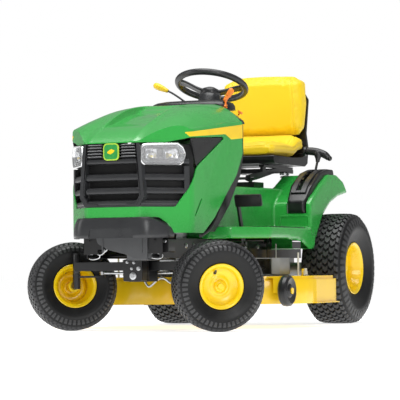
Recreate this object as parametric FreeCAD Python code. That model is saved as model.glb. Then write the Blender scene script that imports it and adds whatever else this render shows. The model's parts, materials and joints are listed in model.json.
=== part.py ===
"""Riding lawn mower with a 42 inch class deck, built as separate sub-parts, one STEP file each.

Chassis frame, millimetres: +Z up, the mower faces -Y, +X is the operator's left hand. The chassis
origin is on the ground below the middle of the rear axle. Each solid is moved by TO_ROW as it is
written, which puts the row origin at the centre of the bottom of the overall box.
"""
import FreeCAD
import Part
import math
import os

V = FreeCAD.Vector
X_AXIS, Y_AXIS, Z_AXIS = V(1, 0, 0), V(0, 1, 0), V(0, 0, 1)

# ---- driving dimensions -------------------------------------------------------------------
TO_ROW = V(78.5, 650.0, 0.0)      # chassis frame to row frame

FRONT_AXLE_Y = -1243.0            # wheelbase 1243
KINGPIN_X = 307.0
KINGPIN_R = 9.5
SCRUB = 86.0                      # wheel centre outboard of the kingpin
STEER_REST = -50.5                # the mower stands with its wheels turned to its right
CAMBER = 3.5
STUB_R = 9.5
BORE_GAP = 0.05                   # radial running clearance

FRONT_TYRE_R, FRONT_TYRE_W = 185.5, 148.0
FRONT_SEAT_R, FRONT_FLANGE_R, FRONT_RIM_W = 76.0, 92.0, 112.0
REAR_TYRE_R, REAR_TYRE_W = 249.5, 205.0
REAR_SEAT_R, REAR_FLANGE_R, REAR_RIM_W = 102.0, 117.5, 152.0
REAR_X = 397.5
TYRE_SKIN = 9.0

RAIL_X, RAIL_WEB, RAIL_FLANGE = 165.0, 4.0, 35.0
RAIL_Z0, RAIL_Z1 = 300.0, 375.0
RAIL_Y0, RAIL_Y1 = -1430.0, 130.0

AXLE_PIVOT_Z = 268.0
BEAM_Z0, BEAM_Z1, BEAM_Y = 250.0, 286.0, 22.0
BUSH_R, BUSH_Z0, BUSH_Z1 = 15.0, 240.0, 318.0

ARM_Z0, ARM_Z1 = 222.0, 230.0     # steering arms
TIE_ARM = 110.0
DRAG_ARM, DRAG_ANGLE = 95.0, 210.0
SECTOR_Y, SECTOR_Z0, SECTOR_T = -891.0, 288.0, 6.0
SECTOR_R, TOOTH_TIP_R, TOOTH_ROOT_R, WINDOW_R = 130.0, 112.6, 117.0, 80.0
PINION_R, PINION_TEETH = 12.0, 15    # the sector's teeth are 2.5 degrees apart: 144 to a full ring

WHEEL_C = V(0, -512, 1065)        # steering wheel centre
COLUMN_TILT = 20.0
RING_R, RING_TUBE_R = 149.0, 15.0
HUB_Z, SPOKES = -50.0, (207, 12, 109.5)      # underside of the dished hub; spoke directions

HOOD_W, HOOD_SKIN = 272.0, 4.0
NOSE_Y, NOSE_X, CHEEK_Y = -1534.0, 118.0, -1345.0
HOOD_REAR_Y = -817.0
HOOD_HINGE = V(0, -1508, 482)
GRILLE_TOP, GRILLE_BOTTOM = 760.0, 504.0

DECK_TOP, DECK_BOTTOM, DECK_SKIN = 220.0, 104.0, 3.0
SPINDLE_X, DECK_Y, DECK_R = 258.0, -675.0, 288.0
SPINDLE_STAGGER = 18.0
BLADE_LEN, BLADE_W, BLADE_T, BLADE_Z = 508.0, 56.0, 4.0, 108.0
PULLEY_R, GROOVE_R = 53.0, 45.5
GAUGE = V(512, -932, 159)
GAUGE_R, GAUGE_W = 65.0, 43.0
CHUTE_HINGE = V(-556, -680, 212)
CHUTE_REACH = 159.0

LIFT_PIVOT = V(310, -235, 385)
LIFT_TIP_Y, LIFT_TIP_Z = -329.0, 371.0
PEDAL_Y, PEDAL_Z = -830.0, 360.0
SEAT_PIVOT = V(0, -395, 655)
PLATFORM_Z = 612.0
FENDER_X, TUNNEL_X = 380.0, 200.0
FOOT_Z = 430.0

THROTTLE, BLADE_PIVOT = V(173, -768, 950), V(-24, -690, 962)
CHOKE, CHOKE_AXIS = V(226, -752, 909), V(0.55, 0.1, 0.83)
KEY, KEY_AXIS = V(-96, -606, 930), V(0, 0.4, 0.92)

CRANK = V(0, -1110, 0)
EXHAUST = V(-187, -1300, 333)


# ---- helpers ------------------------------------------------------------------------------
def box(x0, x1, y0, y1, z0, z1):
    return Part.makeBox(x1 - x0, y1 - y0, z1 - z0, V(x0, y0, z0))


def cyl(start, axis, radius, length):
    return Part.makeCylinder(radius, length, start, axis)


def tube(start, axis, outer, inner, length):
    return cyl(start, axis, outer, length).cut(cyl(start, axis, inner, length))


def rod(p, q, radius):
    return cyl(p, q.sub(p), radius, q.sub(p).Length)


def to_3d(plane, a, b):
    """A point of a drawing plane: x holds (y, z), y holds (x, z), z holds (x, y)."""
    if plane == "x":
        return V(0, a, b)
    if plane == "y":
        return V(a, 0, b)
    return V(a, b, 0)


def outline(plane, points, radius=0.0):
    """A closed wire through the points, with its corners rounded where a radius is given."""
    corners = [to_3d(plane, p[0], p[1]) for p in points]
    radii = [p[2] if len(p) > 2 else radius for p in points]
    if max(radii) <= 0:
        return Part.makePolygon(corners + corners[:1])
    starts, mids, ends = [], [], []
    count = len(corners)
    for i, corner in enumerate(corners):
        back = corners[i - 1].sub(corner)
        fore = corners[(i + 1) % count].sub(corner)
        half = back.getAngle(fore) / 2.0
        reach = min(back.Length, fore.Length) * 0.49
        cut = min(radii[i] / math.tan(half), reach) if radii[i] > 0 else 0.0
        r = cut * math.tan(half)
        back.normalize()
        fore.normalize()
        starts.append(corner.add(back * cut))
        ends.append(corner.add(fore * cut))
        middle = back.add(fore)
        if cut > 0:
            middle.normalize()
        mids.append(corner.add(middle * (r / math.sin(half) - r)))
    edges = []
    for i in range(count):
        if ends[i].distanceToPoint(starts[i]) > 1e-6:
            edges.append(Part.Arc(starts[i], mids[i], ends[i]).toShape())
        nxt = starts[(i + 1) % count]
        if ends[i].distanceToPoint(nxt) > 1e-6:
            edges.append(Part.LineSegment(ends[i], nxt).toShape())
    return Part.Wire(edges)


def prism(plane, points, low, high, radius=0.0):
    """The outline, extruded along its plane's normal from low to high."""
    face = Part.Face(outline(plane, points, radius))
    normal = {"x": X_AXIS, "y": Y_AXIS, "z": Z_AXIS}[plane]
    solid = face.extrude(normal * (high - low))
    solid.translate(normal * low)
    return solid


def mirrored(shape):
    return shape.mirror(V(0, 0, 0), X_AXIS)


def both_sides(shape):
    return Part.makeCompound([shape, mirrored(shape)])


def symmetric(half):
    """Outline points given for +X only, from bottom to top, completed to a closed outline."""
    return half + [(-p[0],) + tuple(p[1:]) for p in reversed(half)]


def turned(shape, centre, axis, degrees):
    copy = shape.copy()
    copy.rotate(centre, axis, degrees)
    return copy


def join(*shapes):
    result = shapes[0]
    for shape in shapes[1:]:
        result = result.fuse(shape)
    return result.removeSplitter()


def revolve_x(points):
    """A closed profile of (x, r) points, turned about the X axis."""
    wire = Part.makePolygon([V(p[0], 0, p[1]) for p in points + points[:1]])
    return Part.Face(wire).revolve(V(0, 0, 0), X_AXIS, 360)


def save(name, shape):
    copy = shape.copy()
    copy.translate(TO_ROW)
    copy.exportStep("parts/%s.step" % name)
    BUILT.append(copy.BoundBox)


# ---- wheels -------------------------------------------------------------------------------
def tyre(radius, width, seat_r, flange_r, rim_w):
    """A hollow pneumatic tyre, axis X, centred on the origin: beads, bulged sides, crowned tread."""
    half, bead = width / 2.0, rim_w / 2.0 - 4.0
    side_r = (radius + flange_r) / 2.0

    def profile(skin):
        w, r = half - skin, radius - skin
        right = [(bead - skin, seat_r + 3.0), (bead - skin, flange_r), (w, side_r), (w, side_r + 14),
                 (w - 6, r - 26), (w - 20, r - 7), (w * 0.45, r - 1.5)]
        knots = right + [(-p[0], p[1]) for p in reversed(right)]
        return revolve_x(knots)
    return profile(0.0).cut(profile(TYRE_SKIN))


def rim(seat_r, flange_r, width, disc_x, hub_r, hub_x0, hub_x1):
    """A pressed rim, axis X: barrel, two flanges, a dished disc and a hub tube for the stub axle."""
    half = width / 2.0
    barrel = tube(V(-half, 0, 0), X_AXIS, seat_r + 3, seat_r, width)
    flanges = [tube(V(s * half - 2, 0, 0), X_AXIS, flange_r, seat_r, 4) for s in (-1, 1)]
    dish = revolve_x([(disc_x, hub_r - 4), (disc_x + 4, hub_r - 4), (disc_x + 4, seat_r * 0.62),
                      (disc_x + 14, seat_r + 1), (disc_x + 9, seat_r + 1), (disc_x, seat_r * 0.62)])
    hub = cyl(V(hub_x0, 0, 0), X_AXIS, hub_r, hub_x1 - hub_x0)
    solid = join(barrel, flanges[0], flanges[1], dish, hub)
    return solid.cut(cyl(V(hub_x0 - 1, 0, 0), X_AXIS, STUB_R + BORE_GAP, hub_x1 - hub_x0 + 2))


def outboard(side, steer=STEER_REST):
    """Unit vector along a front stub axle, which falls towards its outer end by the camber."""
    tilt = math.radians(CAMBER)
    flat = V(side * math.cos(tilt), 0, -math.sin(tilt))
    return FreeCAD.Rotation(Z_AXIS, steer).multVec(flat)


def kingpin(side):
    return V(side * KINGPIN_X, FRONT_AXLE_Y, 0)


def front_placed(shape, side, wheel_z):
    """Take a wheel piece from its own axis to its place on a front stub axle."""
    piece = shape if side > 0 else mirrored(shape)
    piece = turned(piece, V(0, 0, 0), Y_AXIS, side * CAMBER)
    piece.translate(V(side * SCRUB, 0, wheel_z))
    piece = turned(piece, V(0, 0, 0), Z_AXIS, STEER_REST)
    piece.translate(kingpin(side))
    return piece


def front_wheel_height(shape):
    """Centre height that puts the leaning tyre's lowest point on the ground."""
    return -turned(shape, V(0, 0, 0), Y_AXIS, CAMBER).BoundBox.ZMin


def wheels():
    front_tyre = tyre(FRONT_TYRE_R, FRONT_TYRE_W, FRONT_SEAT_R, FRONT_FLANGE_R, FRONT_RIM_W)
    front_rim = rim(FRONT_SEAT_R, FRONT_FLANGE_R, FRONT_RIM_W, 22.0, 24.0, -44.0, 34.0)
    height = front_wheel_height(front_tyre)
    rear_tyre = tyre(REAR_TYRE_R, REAR_TYRE_W, REAR_SEAT_R, REAR_FLANGE_R, REAR_RIM_W)
    rear_rim = rim(REAR_SEAT_R, REAR_FLANGE_R, REAR_RIM_W, 10.0, 30.0, -62.0, 26.0)
    for side, word in ((1, "left"), (-1, "right")):
        save("front_tyre_" + word, front_placed(front_tyre, side, height))
        save("front_rim_" + word, front_placed(front_rim, side, height))
        for name, shape in (("rear_tyre_", rear_tyre), ("rear_rim_", rear_rim)):
            piece = shape.copy() if side > 0 else mirrored(shape)
            piece.translate(V(side * REAR_X, 0, REAR_TYRE_R))
            save(name + word, piece)
    return height


# ---- front axle and steering --------------------------------------------------------------
def arm_point(side, length, straight_angle, steer=STEER_REST):
    """End of a steering arm whose angle from +X is given for wheels set straight ahead."""
    angle = math.radians(straight_angle + steer)
    return kingpin(side) + V(length * math.cos(angle), length * math.sin(angle), 0)


def flat_arm(start, end, z0, z1, radius):
    """A flat link with round ends between two upright axes."""
    run = end.sub(start)
    run.z = 0
    slab = box(0, run.Length, -radius, radius, z0, z1)
    slab = turned(slab, V(0, 0, 0), Z_AXIS, math.degrees(math.atan2(run.y, run.x)))
    slab.translate(V(start.x, start.y, 0))
    ends = [cyl(V(p.x, p.y, z0), Z_AXIS, radius, z1 - z0) for p in (start, end)]
    return join(slab, ends[0], ends[1])


TIE_EYE_Z = ARM_Z1 + 3.0
DRAG_Z_SPINDLE, DRAG_Z_SECTOR = 206.0, 252.0
STUD_R, OPEN_EYE_R, EYE_R = 5.0, 5.6, 11.0


def pie(start, end, z0, z1):
    """A wide wedge about the Z axis between two angles, used to keep part of a disc."""
    points = [(0, 0)]
    for i in range(5):
        angle = math.radians(start + (end - start) * i / 4.0)
        points.append((400 * math.cos(angle), 400 * math.sin(angle)))
    return prism("z", points, z0, z1)


def axle_beam():
    beam = box(-KINGPIN_X, KINGPIN_X, FRONT_AXLE_Y - BEAM_Y, FRONT_AXLE_Y + BEAM_Y, BEAM_Z0, BEAM_Z1)
    for side in (1, -1):
        foot = kingpin(side) + V(0, 0, BUSH_Z0)
        beam = beam.fuse(cyl(foot, Z_AXIS, BUSH_R, BUSH_Z1 - BUSH_Z0))
        beam = beam.cut(cyl(foot, Z_AXIS, KINGPIN_R + BORE_GAP, BUSH_Z1 - BUSH_Z0))
    bolt = V(0, FRONT_AXLE_Y - BEAM_Y - 1, AXLE_PIVOT_Z)
    save("axle_beam", beam.cut(cyl(bolt, Y_AXIS, 9.0 + BORE_GAP, 2 * BEAM_Y + 2)).removeSplitter())


def spindle(side, wheel_z):
    """Kingpin, knuckle, stub axle and steering arms of one front wheel."""
    pin = kingpin(side)
    post = cyl(pin + V(0, 0, 180), Z_AXIS, KINGPIN_R, 144)
    cap = cyl(pin + V(0, 0, BUSH_Z1 + 0.5), Z_AXIS, 15, 6)
    boss = cyl(pin + V(0, 0, 176), Z_AXIS, 16, BUSH_Z0 - 0.5 - 176)
    along = outboard(side)
    root_z = wheel_z + SCRUB * math.tan(math.radians(CAMBER))
    stub = cyl(pin + V(0, 0, root_z), along, STUB_R, SCRUB + 44)
    collar = cyl(pin + V(0, 0, root_z), along, 16, SCRUB - 46)
    washer = cyl(pin + V(0, 0, root_z) + along * (SCRUB + 34.6), along, 17, 3)
    body = join(post, cap, boss, stub, collar, washer)
    tie_end = arm_point(side, TIE_ARM, 90.0)
    body = join(body, flat_arm(pin, tie_end, ARM_Z0, ARM_Z1, 13.0),
                cyl(tie_end + V(0, 0, ARM_Z0), Z_AXIS, STUD_R, 30))
    if side > 0:
        drag_end = arm_point(side, DRAG_ARM, DRAG_ANGLE)
        body = join(body, flat_arm(pin, drag_end, ARM_Z0, ARM_Z1, 13.0),
                    cyl(drag_end + V(0, 0, DRAG_Z_SPINDLE - 9), Z_AXIS, STUD_R, ARM_Z0 - DRAG_Z_SPINDLE + 10))
    save("spindle_left" if side > 0 else "spindle_right", body)


def steering(wheel_z):
    axle_beam()
    for side in (1, -1):
        spindle(side, wheel_z)
    # tie rod between the trailing arms: its right eye is the jointed one, its left eye the open one
    right, left = arm_point(-1, TIE_ARM, 90.0), arm_point(1, TIE_ARM, 90.0)
    eye_mid = V(0, 0, TIE_EYE_Z + 7)
    tie = join(rod(right + eye_mid + V(8, 0, 0), left + eye_mid - V(8, 0, 0), 5.5),
               cyl(right + V(0, 0, TIE_EYE_Z), Z_AXIS, EYE_R, 14),
               cyl(left + V(0, 0, TIE_EYE_Z), Z_AXIS, EYE_R, 14))
    tie = tie.cut(cyl(right + V(0, 0, TIE_EYE_Z - 1), Z_AXIS, STUD_R + BORE_GAP, 16))
    save("tie_rod", tie.cut(cyl(left + V(0, 0, TIE_EYE_Z - 1), Z_AXIS, OPEN_EYE_R, 16)))
    # sector gear plate, with an arm parallel to the left spindle's drag arm
    pivot = V(0, SECTOR_Y, 0)
    angle = math.radians(DRAG_ANGLE + STEER_REST)
    arm_end = pivot + V(DRAG_ARM * math.cos(angle), DRAG_ARM * math.sin(angle), 0)
    top = SECTOR_Z0 + SECTOR_T
    fan = tube(V(0, 0, SECTOR_Z0), Z_AXIS, SECTOR_R, TOOTH_TIP_R, SECTOR_T)
    for i in range(49):
        notch = box(TOOTH_TIP_R - 1, TOOTH_ROOT_R, -1.9, 1.9, SECTOR_Z0 - 1, top + 1)
        fan = fan.cut(turned(notch, V(0, 0, 0), Z_AXIS, 30 + 2.5 * i))
    fan = fan.fuse(cyl(V(0, 0, SECTOR_Z0), Z_AXIS, WINDOW_R, SECTOR_T))
    fan = fan.common(pie(16, 164, SECTOR_Z0, top))
    for middle in (21, 159):
        arm = box(30, TOOTH_TIP_R + 4, -9, 9, SECTOR_Z0, top)
        fan = fan.fuse(turned(arm, V(0, 0, 0), Z_AXIS, middle))
    fan = turned(fan, V(0, 0, 0), Z_AXIS, STEER_REST)
    fan.translate(pivot)
    sector = join(fan, cyl(pivot + V(0, 0, SECTOR_Z0), Z_AXIS, 26, SECTOR_T),
                  flat_arm(pivot, arm_end, SECTOR_Z0, top, 13.0),
                  cyl(arm_end + V(0, 0, DRAG_Z_SECTOR - 8), Z_AXIS, STUD_R, top - DRAG_Z_SECTOR + 6))
    save("steering_sector", sector.cut(cyl(pivot + V(0, 0, SECTOR_Z0 - 1), Z_AXIS, 10.0 + BORE_GAP, 9)))
    # drag link from the sector's arm to the left spindle's drag arm, hinged at the spindle
    low = arm_point(1, DRAG_ARM, DRAG_ANGLE) + V(0, 0, DRAG_Z_SPINDLE)
    high = arm_end + V(0, 0, DRAG_Z_SECTOR)
    link = join(rod(low, high, 5.0), cyl(low - V(0, 0, 7), Z_AXIS, EYE_R, 14),
                cyl(high - V(0, 0, 6), Z_AXIS, EYE_R + 2, 12))
    link = link.cut(cyl(low - V(0, 0, 9), Z_AXIS, STUD_R + BORE_GAP, 18))
    save("drag_link", link.cut(cyl(high - V(0, 0, 12), Z_AXIS, STUD_R + 3.0, 24)))
    steering_column()


def steering_column():
    tilt = math.radians(COLUMN_TILT)
    axis = V(0, math.sin(tilt), math.cos(tilt))
    length = (WHEEL_C.z - SECTOR_Z0 + 8) / math.cos(tilt)
    foot = WHEEL_C - axis * length
    shaft = cyl(foot, axis, 9.5, length + HUB_Z + 14.0)
    pinion = cyl(foot, axis, PINION_R, 24)
    for i in range(PINION_TEETH):
        slot = box(PINION_R - 2.5, 15, -1.1, 1.1, -1, 25)
        slot = turned(slot, V(0, 0, 0), Z_AXIS, 360.0 * i / PINION_TEETH)
        slot = turned(slot, V(0, 0, 0), X_AXIS, -COLUMN_TILT)
        slot.translate(foot)
        pinion = pinion.cut(slot)
    save("steering_shaft", join(shaft, pinion))
    ring = Part.makeTorus(RING_R, RING_TUBE_R, V(0, 0, 0), Z_AXIS)
    hub = cyl(V(0, 0, HUB_Z), Z_AXIS, 42, 26).cut(cyl(V(0, 0, HUB_Z - 4), Z_AXIS, 9.5 + BORE_GAP, 18.0))
    for angle in SPOKES:
        spoke = prism("y", [(20, HUB_Z + 12), (20, HUB_Z + 26), (48, HUB_Z + 26), (RING_R - 4, 6), (RING_R + 3, -8),
                            (52, HUB_Z + 12)], -19, 19)
        hub = hub.fuse(turned(spoke, V(0, 0, 0), Z_AXIS, angle))
    wheel = turned(join(ring, hub), V(0, 0, 0), X_AXIS, -COLUMN_TILT)
    wheel.translate(WHEEL_C)
    save("steering_wheel", wheel)


# ---- frame and drive ----------------------------------------------------------------------
def frame():
    channel = [(RAIL_X, RAIL_Z0), (RAIL_X, RAIL_Z1), (RAIL_X - RAIL_FLANGE, RAIL_Z1),
               (RAIL_X - RAIL_FLANGE, RAIL_Z1 - 4), (RAIL_X - RAIL_WEB, RAIL_Z1 - 4),
               (RAIL_X - RAIL_WEB, RAIL_Z0 + 4), (RAIL_X - RAIL_FLANGE, RAIL_Z0 + 4),
               (RAIL_X - RAIL_FLANGE, RAIL_Z0)]
    rail = prism("y", channel, RAIL_Y0, RAIL_Y1)
    rail = rail.cut(cyl(V(100, LIFT_PIVOT.y, LIFT_PIVOT.z), X_AXIS, 10.5, 100))
    hanger = prism("x", [(LIFT_PIVOT.y - 40, RAIL_Z1), (LIFT_PIVOT.y + 40, RAIL_Z1),
                         (LIFT_PIVOT.y + 22, LIFT_PIVOT.z + 26), (LIFT_PIVOT.y - 22, LIFT_PIVOT.z + 26)],
                   RAIL_X - 8, RAIL_X, 6)
    hanger = hanger.cut(cyl(V(100, LIFT_PIVOT.y, LIFT_PIVOT.z), X_AXIS, 10.0 + BORE_GAP, 100))
    horn = box(114, 176, RAIL_Y0 - 4, RAIL_Y0, 317, 388)
    horn = horn.cut(cyl(V(145, RAIL_Y0 - 5, 372), Y_AXIS, 6.0, 10))
    pedal_ear = box(RAIL_X, RAIL_X + 6, PEDAL_Y - 16, PEDAL_Y + 16, PEDAL_Z - 16, PEDAL_Z + 14)
    pedal_ear = pedal_ear.cut(cyl(V(150, PEDAL_Y, PEDAL_Z), X_AXIS, 9.0 + BORE_GAP, 40))
    rail = rail.cut(cyl(V(150, PEDAL_Y, PEDAL_Z), X_AXIS, 9.0 + BORE_GAP, 40))
    rail = rail.cut(box(112, 170, -1012, -880, 295, 320))
    side = both_sides(Part.makeCompound([rail, hanger, horn, pedal_ear]))
    inner = RAIL_X - RAIL_WEB
    cross = [box(-inner, inner, RAIL_Y0 - 4, RAIL_Y0 + 1, 336, RAIL_Z1 - 4),
             box(-inner, inner, -420, -415, RAIL_Z0 + 4, RAIL_Z1 - 4),
             box(-inner, inner, RAIL_Y1 - 5, RAIL_Y1, RAIL_Z0 + 4, RAIL_Z1 - 4)]
    engine_plate = box(-RAIL_X, RAIL_X, -1275, -945, RAIL_Z1, RAIL_Z1 + 5)
    engine_plate = engine_plate.cut(cyl(CRANK + V(0, 0, 370), Z_AXIS, 30, 20))
    saddle = []
    for y in (FRONT_AXLE_Y - 47, FRONT_AXLE_Y + 41):
        plate = box(-45, 45, y, y + 6, 204, 306)
        plate = plate.cut(cyl(V(0, y - 1, 220), Y_AXIS, 6.5, 8))
        saddle.append(plate.cut(cyl(V(0, y - 1, AXLE_PIVOT_Z), Y_AXIS, 9.0, 8)))
    bridge = box(-inner, inner, FRONT_AXLE_Y - 47, FRONT_AXLE_Y + 47, 306, 311)
    sector_deck = box(-RAIL_X + 5, RAIL_X - 5, SECTOR_Y - 24, SECTOR_Y + 40, 305, 309)
    sector_deck = sector_deck.cut(cyl(V(0, SECTOR_Y, 300), Z_AXIS, 10.0, 20))
    hitch = prism("z", [(-70, 100), (70, 100), (70, 130), (34, 196), (-34, 196), (-70, 130)],
                  RAIL_Z0 - 6, RAIL_Z0, 8)
    hitch = hitch.cut(cyl(V(0, 172, 280), Z_AXIS, HITCH_HOLE_R, 40))
    for x in (-45, 45):
        hitch = hitch.cut(cyl(V(x, 118, 280), Z_AXIS, 5.5, 40))
    pieces = [side, engine_plate, bridge, sector_deck, hitch] + cross + saddle
    merged = pieces[0].Solids[0]
    for piece in [s for p in pieces for s in p.Solids][1:]:
        merged = merged.fuse(piece)
    save("frame", merged.removeSplitter())
    # through bolts that the front axle and the sector turn on
    axle_bolt = join(cyl(V(0, FRONT_AXLE_Y - 46.5, AXLE_PIVOT_Z), Y_AXIS, 9.0, 95),
                     cyl(V(0, FRONT_AXLE_Y - 57, AXLE_PIVOT_Z), Y_AXIS, 14, 10))
    sector_bolt = join(cyl(V(0, SECTOR_Y, SECTOR_Z0 - 3), Z_AXIS, 10.0, 32),
                       cyl(V(0, SECTOR_Y, SECTOR_Z0 - 9), Z_AXIS, 15, 8.5))
    hood_pin = cyl(V(48, HOOD_HINGE.y, HOOD_HINGE.z), X_AXIS, 4.0, 24.5)
    save("pivot_pins", Part.makeCompound([axle_bolt, sector_bolt, hood_pin, mirrored(hood_pin)]))


HITCH_HOLE_R = 9.5


def engine():
    case = cyl(CRANK + V(0, 0, 380.5), Z_AXIS, 128, 120)
    sump = box(-150, 150, -1240, -1180, 380.5, 400)
    head = box(-70, 70, -1330, -1200, 420, 540)
    fins = [box(-84, 84, y, y + 3, 408, 552) for y in range(-1320, -1250, 11)]
    block = join(case, sump, head, *fins)
    block = block.cut(cyl(CRANK + V(0, 0, 300), Z_AXIS, 13.0, 120))
    save("engine_block", block)
    shroud = join(cyl(CRANK + V(0, 0, 502), Z_AXIS, 150, 120), box(-78, 78, -1330, -1130, 554, 622))
    screen = tube(CRANK + V(0, 0, 622), Z_AXIS, 118, 112, 20)
    lid = cyl(CRANK + V(0, 0, 640), Z_AXIS, 118, 4)
    hollow = join(cyl(CRANK + V(0, 0, 480), Z_AXIS, 146, 138), box(-74, 74, -1326, -1130, 500, 618))
    cover = join(shroud.cut(hollow), screen, lid)
    cleaner = prism("x", [(-1240, 660), (-1240, 720), (-1010, 740), (-1010, 660)], -95, 95, 14)
    stays = [cyl(V(x, -1225, 621), Z_AXIS, 8, 42) for x in (-60, 60)]
    save("engine_shroud", join(cover, cleaner, *stays))
    shaft = cyl(CRANK + V(0, 0, 300), Z_AXIS, 12.5, 100)
    pulley = revolve_z([(12, 300), (55, 300), (55, 303), (46, 310), (55, 317), (55, 321),
                        (47.5, 322.3), (47.5, 335.7), (55, 337), (55, 339), (12, 339)])
    pulley.translate(CRANK)
    save("crank_pulley", join(shaft, pulley))
    can = prism("z", [(-120, -1350), (110, -1350), (110, -1292), (-120, -1292)], 345, 405, 14)
    end_x = EXHAUST.x
    route = [V(-118, -1320, 391.5), V(end_x, -1320, 391.5), V(end_x, -1262, 362), V(end_x, -1250, EXHAUST.z),
             V(end_x, -1298, EXHAUST.z)]
    pipe, bore = [], []
    for p, q in zip(route, route[1:]):
        pipe += [rod(p, q, 15), Part.makeSphere(15, p)]
        bore += [rod(p, q, 12.5), Part.makeSphere(12.5, p)]
    lip = rod(route[-1] + V(0, 6, 0), route[-1] + V(0, -2, 0), 19)
    bore.append(rod(route[-1] + V(0, 10, 0), route[-1] + V(0, -6, 0), 12.5))
    muffler = join(can, box(-30, 30, -1330, -1321, 400, 420), lip, *pipe)
    save("muffler", muffler.cut(join(*bore)))
    tank = prism("x", [(-952, 600), (-952, 740), (-930, 800), (-835, 800), (-835, 640), (-880, 600)],
                 -200, 200, 18)
    hollow = prism("x", [(-949, 603), (-949, 738), (-928, 797), (-838, 797), (-838, 642), (-881, 603)],
                   -197, 197, 15)
    neck = tube(V(120, -882, 796), Z_AXIS, 34, 30, 22)
    cap = join(cyl(V(120, -882, 818.4), Z_AXIS, 42, 16), cyl(V(120, -882, 800), Z_AXIS, 29.6, 19))
    save("fuel_tank", Part.makeCompound([join(tank.cut(hollow), neck), cap]))


def revolve_z(points):
    """A closed profile of (r, z) points, turned about the Z axis."""
    wire = Part.makePolygon([V(p[0], 0, p[1]) for p in points + points[:1]])
    return Part.Face(wire).revolve(V(0, 0, 0), Z_AXIS, 360)


def transaxle():
    case = prism("x", [(-130, 190), (-130, 290), (90, 296), (90, 200), (20, 168), (-60, 168)], -95, 95, 16)
    axles = cyl(V(-280, 0, REAR_TYRE_R), X_AXIS, 30, 560)
    flanges = [box(s * 150 - 8, s * 150 + 8, -60, 60, 205, 300) for s in (-1, 1)]
    stubs = cyl(V(-(REAR_X + 40), 0, REAR_TYRE_R), X_AXIS, STUB_R, 2 * (REAR_X + 40))
    caps = [cyl(V(s * (REAR_X + 26.6), 0, REAR_TYRE_R), V(s, 0, 0), 18, 4) for s in (-1, 1)]
    fan = cyl(V(0, -70, 292), Z_AXIS, 62, 10)
    save("transaxle", join(case, axles, stubs, flanges[0], flanges[1], caps[0], caps[1], fan))
    save("battery", box(-98, 98, -60, 110, 376, 560))


# ---- hood, grille and nose ----------------------------------------------------------------
# Stations along the hood: y, height at the middle, ridge half-spacing and height, shoulder height
HOOD_STATIONS = [(-800, 949, 150, 960, 884), (-940, 939, 152, 954, 872), (-1060, 927, 154, 943, 858),
                 (-1180, 908, 158, 922, 844), (-1280, 882, 166, 889, 832), (-1370, 848, 178, 854, 820),
                 (-1450, 812, 186, 818, 800), (-1505, 784, 190, 787, 776), (-1545, 756, 190, 757, 752)]


def hood_body(skin):
    """Everything under the hood's top surface, inside its plan outline, moved inwards by skin."""
    wires = []
    for y, middle, ridge_x, ridge_z, shoulder in HOOD_STATIONS:
        half = [(HOOD_W + 2 - skin, 300), (HOOD_W + 2 - skin, shoulder - 18 - skin),
                (HOOD_W - 8 - skin, shoulder - skin), (ridge_x + 14, ridge_z - 5 - skin),
                (ridge_x, ridge_z - skin), (ridge_x - 34, middle + 3 - skin), (40, middle - skin)]
        if y == HOOD_STATIONS[0][0] and skin > 0:
            y = y + 40
        wire = Part.makePolygon([V(p[0], y, p[1]) for p in symmetric(half) + [half[0]]])
        wires.append(wire)
    body = Part.makeLoft(wires, True, True)
    plan = symmetric([(HOOD_W - skin, -760), (HOOD_W - skin, CHEEK_Y + skin * 0.4, 60),
                      (NOSE_X - skin * 0.5, NOSE_Y + skin, 40)])
    return body.common(prism("z", plan, 290, 1000))


def hood():
    shell = hood_body(0.0).cut(hood_body(HOOD_SKIN))
    rear = [(HOOD_REAR_Y, 1100), (HOOD_REAR_Y, 742), (-884, 649), (-1002, 561), (-1125, 464),
            (-1240, 400), (-1440, 400), (-1478, 474), (-1600, 474), (-1600, 250), (-700, 250), (-700, 1100)]
    shell = shell.cut(prism("x", rear, -400, 400))
    front = [(-1600, GRILLE_TOP), (-1440, GRILLE_TOP + 2), (-1352, 784), (-995, 805), (-1299, 668),
             (-1432, GRILLE_BOTTOM), (-1600, GRILLE_BOTTOM)]
    shell = shell.cut(prism("x", front, -400, 400))
    ear = prism("x", [(-1510, 475), (-1531, 476), (-1531, 504), (-1506, 490)], 60, 66)
    ear = ear.fuse(cyl(V(60, HOOD_HINGE.y, HOOD_HINGE.z), X_AXIS, 8, 6))
    ear = ear.cut(cyl(V(50, HOOD_HINGE.y, HOOD_HINGE.z), X_AXIS, 4.0 + BORE_GAP, 30))
    slots = [prism("x", [(-1256, 542), (-1250, 536), (-1317, 467), (-1323, 473)], 260, 280)]
    shell = shell.cut(both_sides(slots[0]))
    save("hood", join(shell, ear, mirrored(ear)))
    vent = prism("x", [(-1346, 781), (-1004, 801), (-1298, 672)], HOOD_W - 9, HOOD_W - 5)
    save("side_vents", both_sides(vent))


def strip(depth, front_gap, z0, z1, x_end=262.0):
    """A band that follows the nose in plan: straight across, then swept back along both cheeks."""
    y0, nose = NOSE_Y + front_gap, NOSE_X + 2
    end_y = -1354.0 + front_gap
    outer = symmetric([(x_end, end_y), (nose, y0)])
    inner = [(-(x_end - depth * 0.9), end_y), (-(nose - depth * 0.4), y0 + depth),
             (nose - depth * 0.4, y0 + depth), (x_end - depth * 0.9, end_y)]
    return prism("z", outer + inner, z0, z1)


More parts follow.
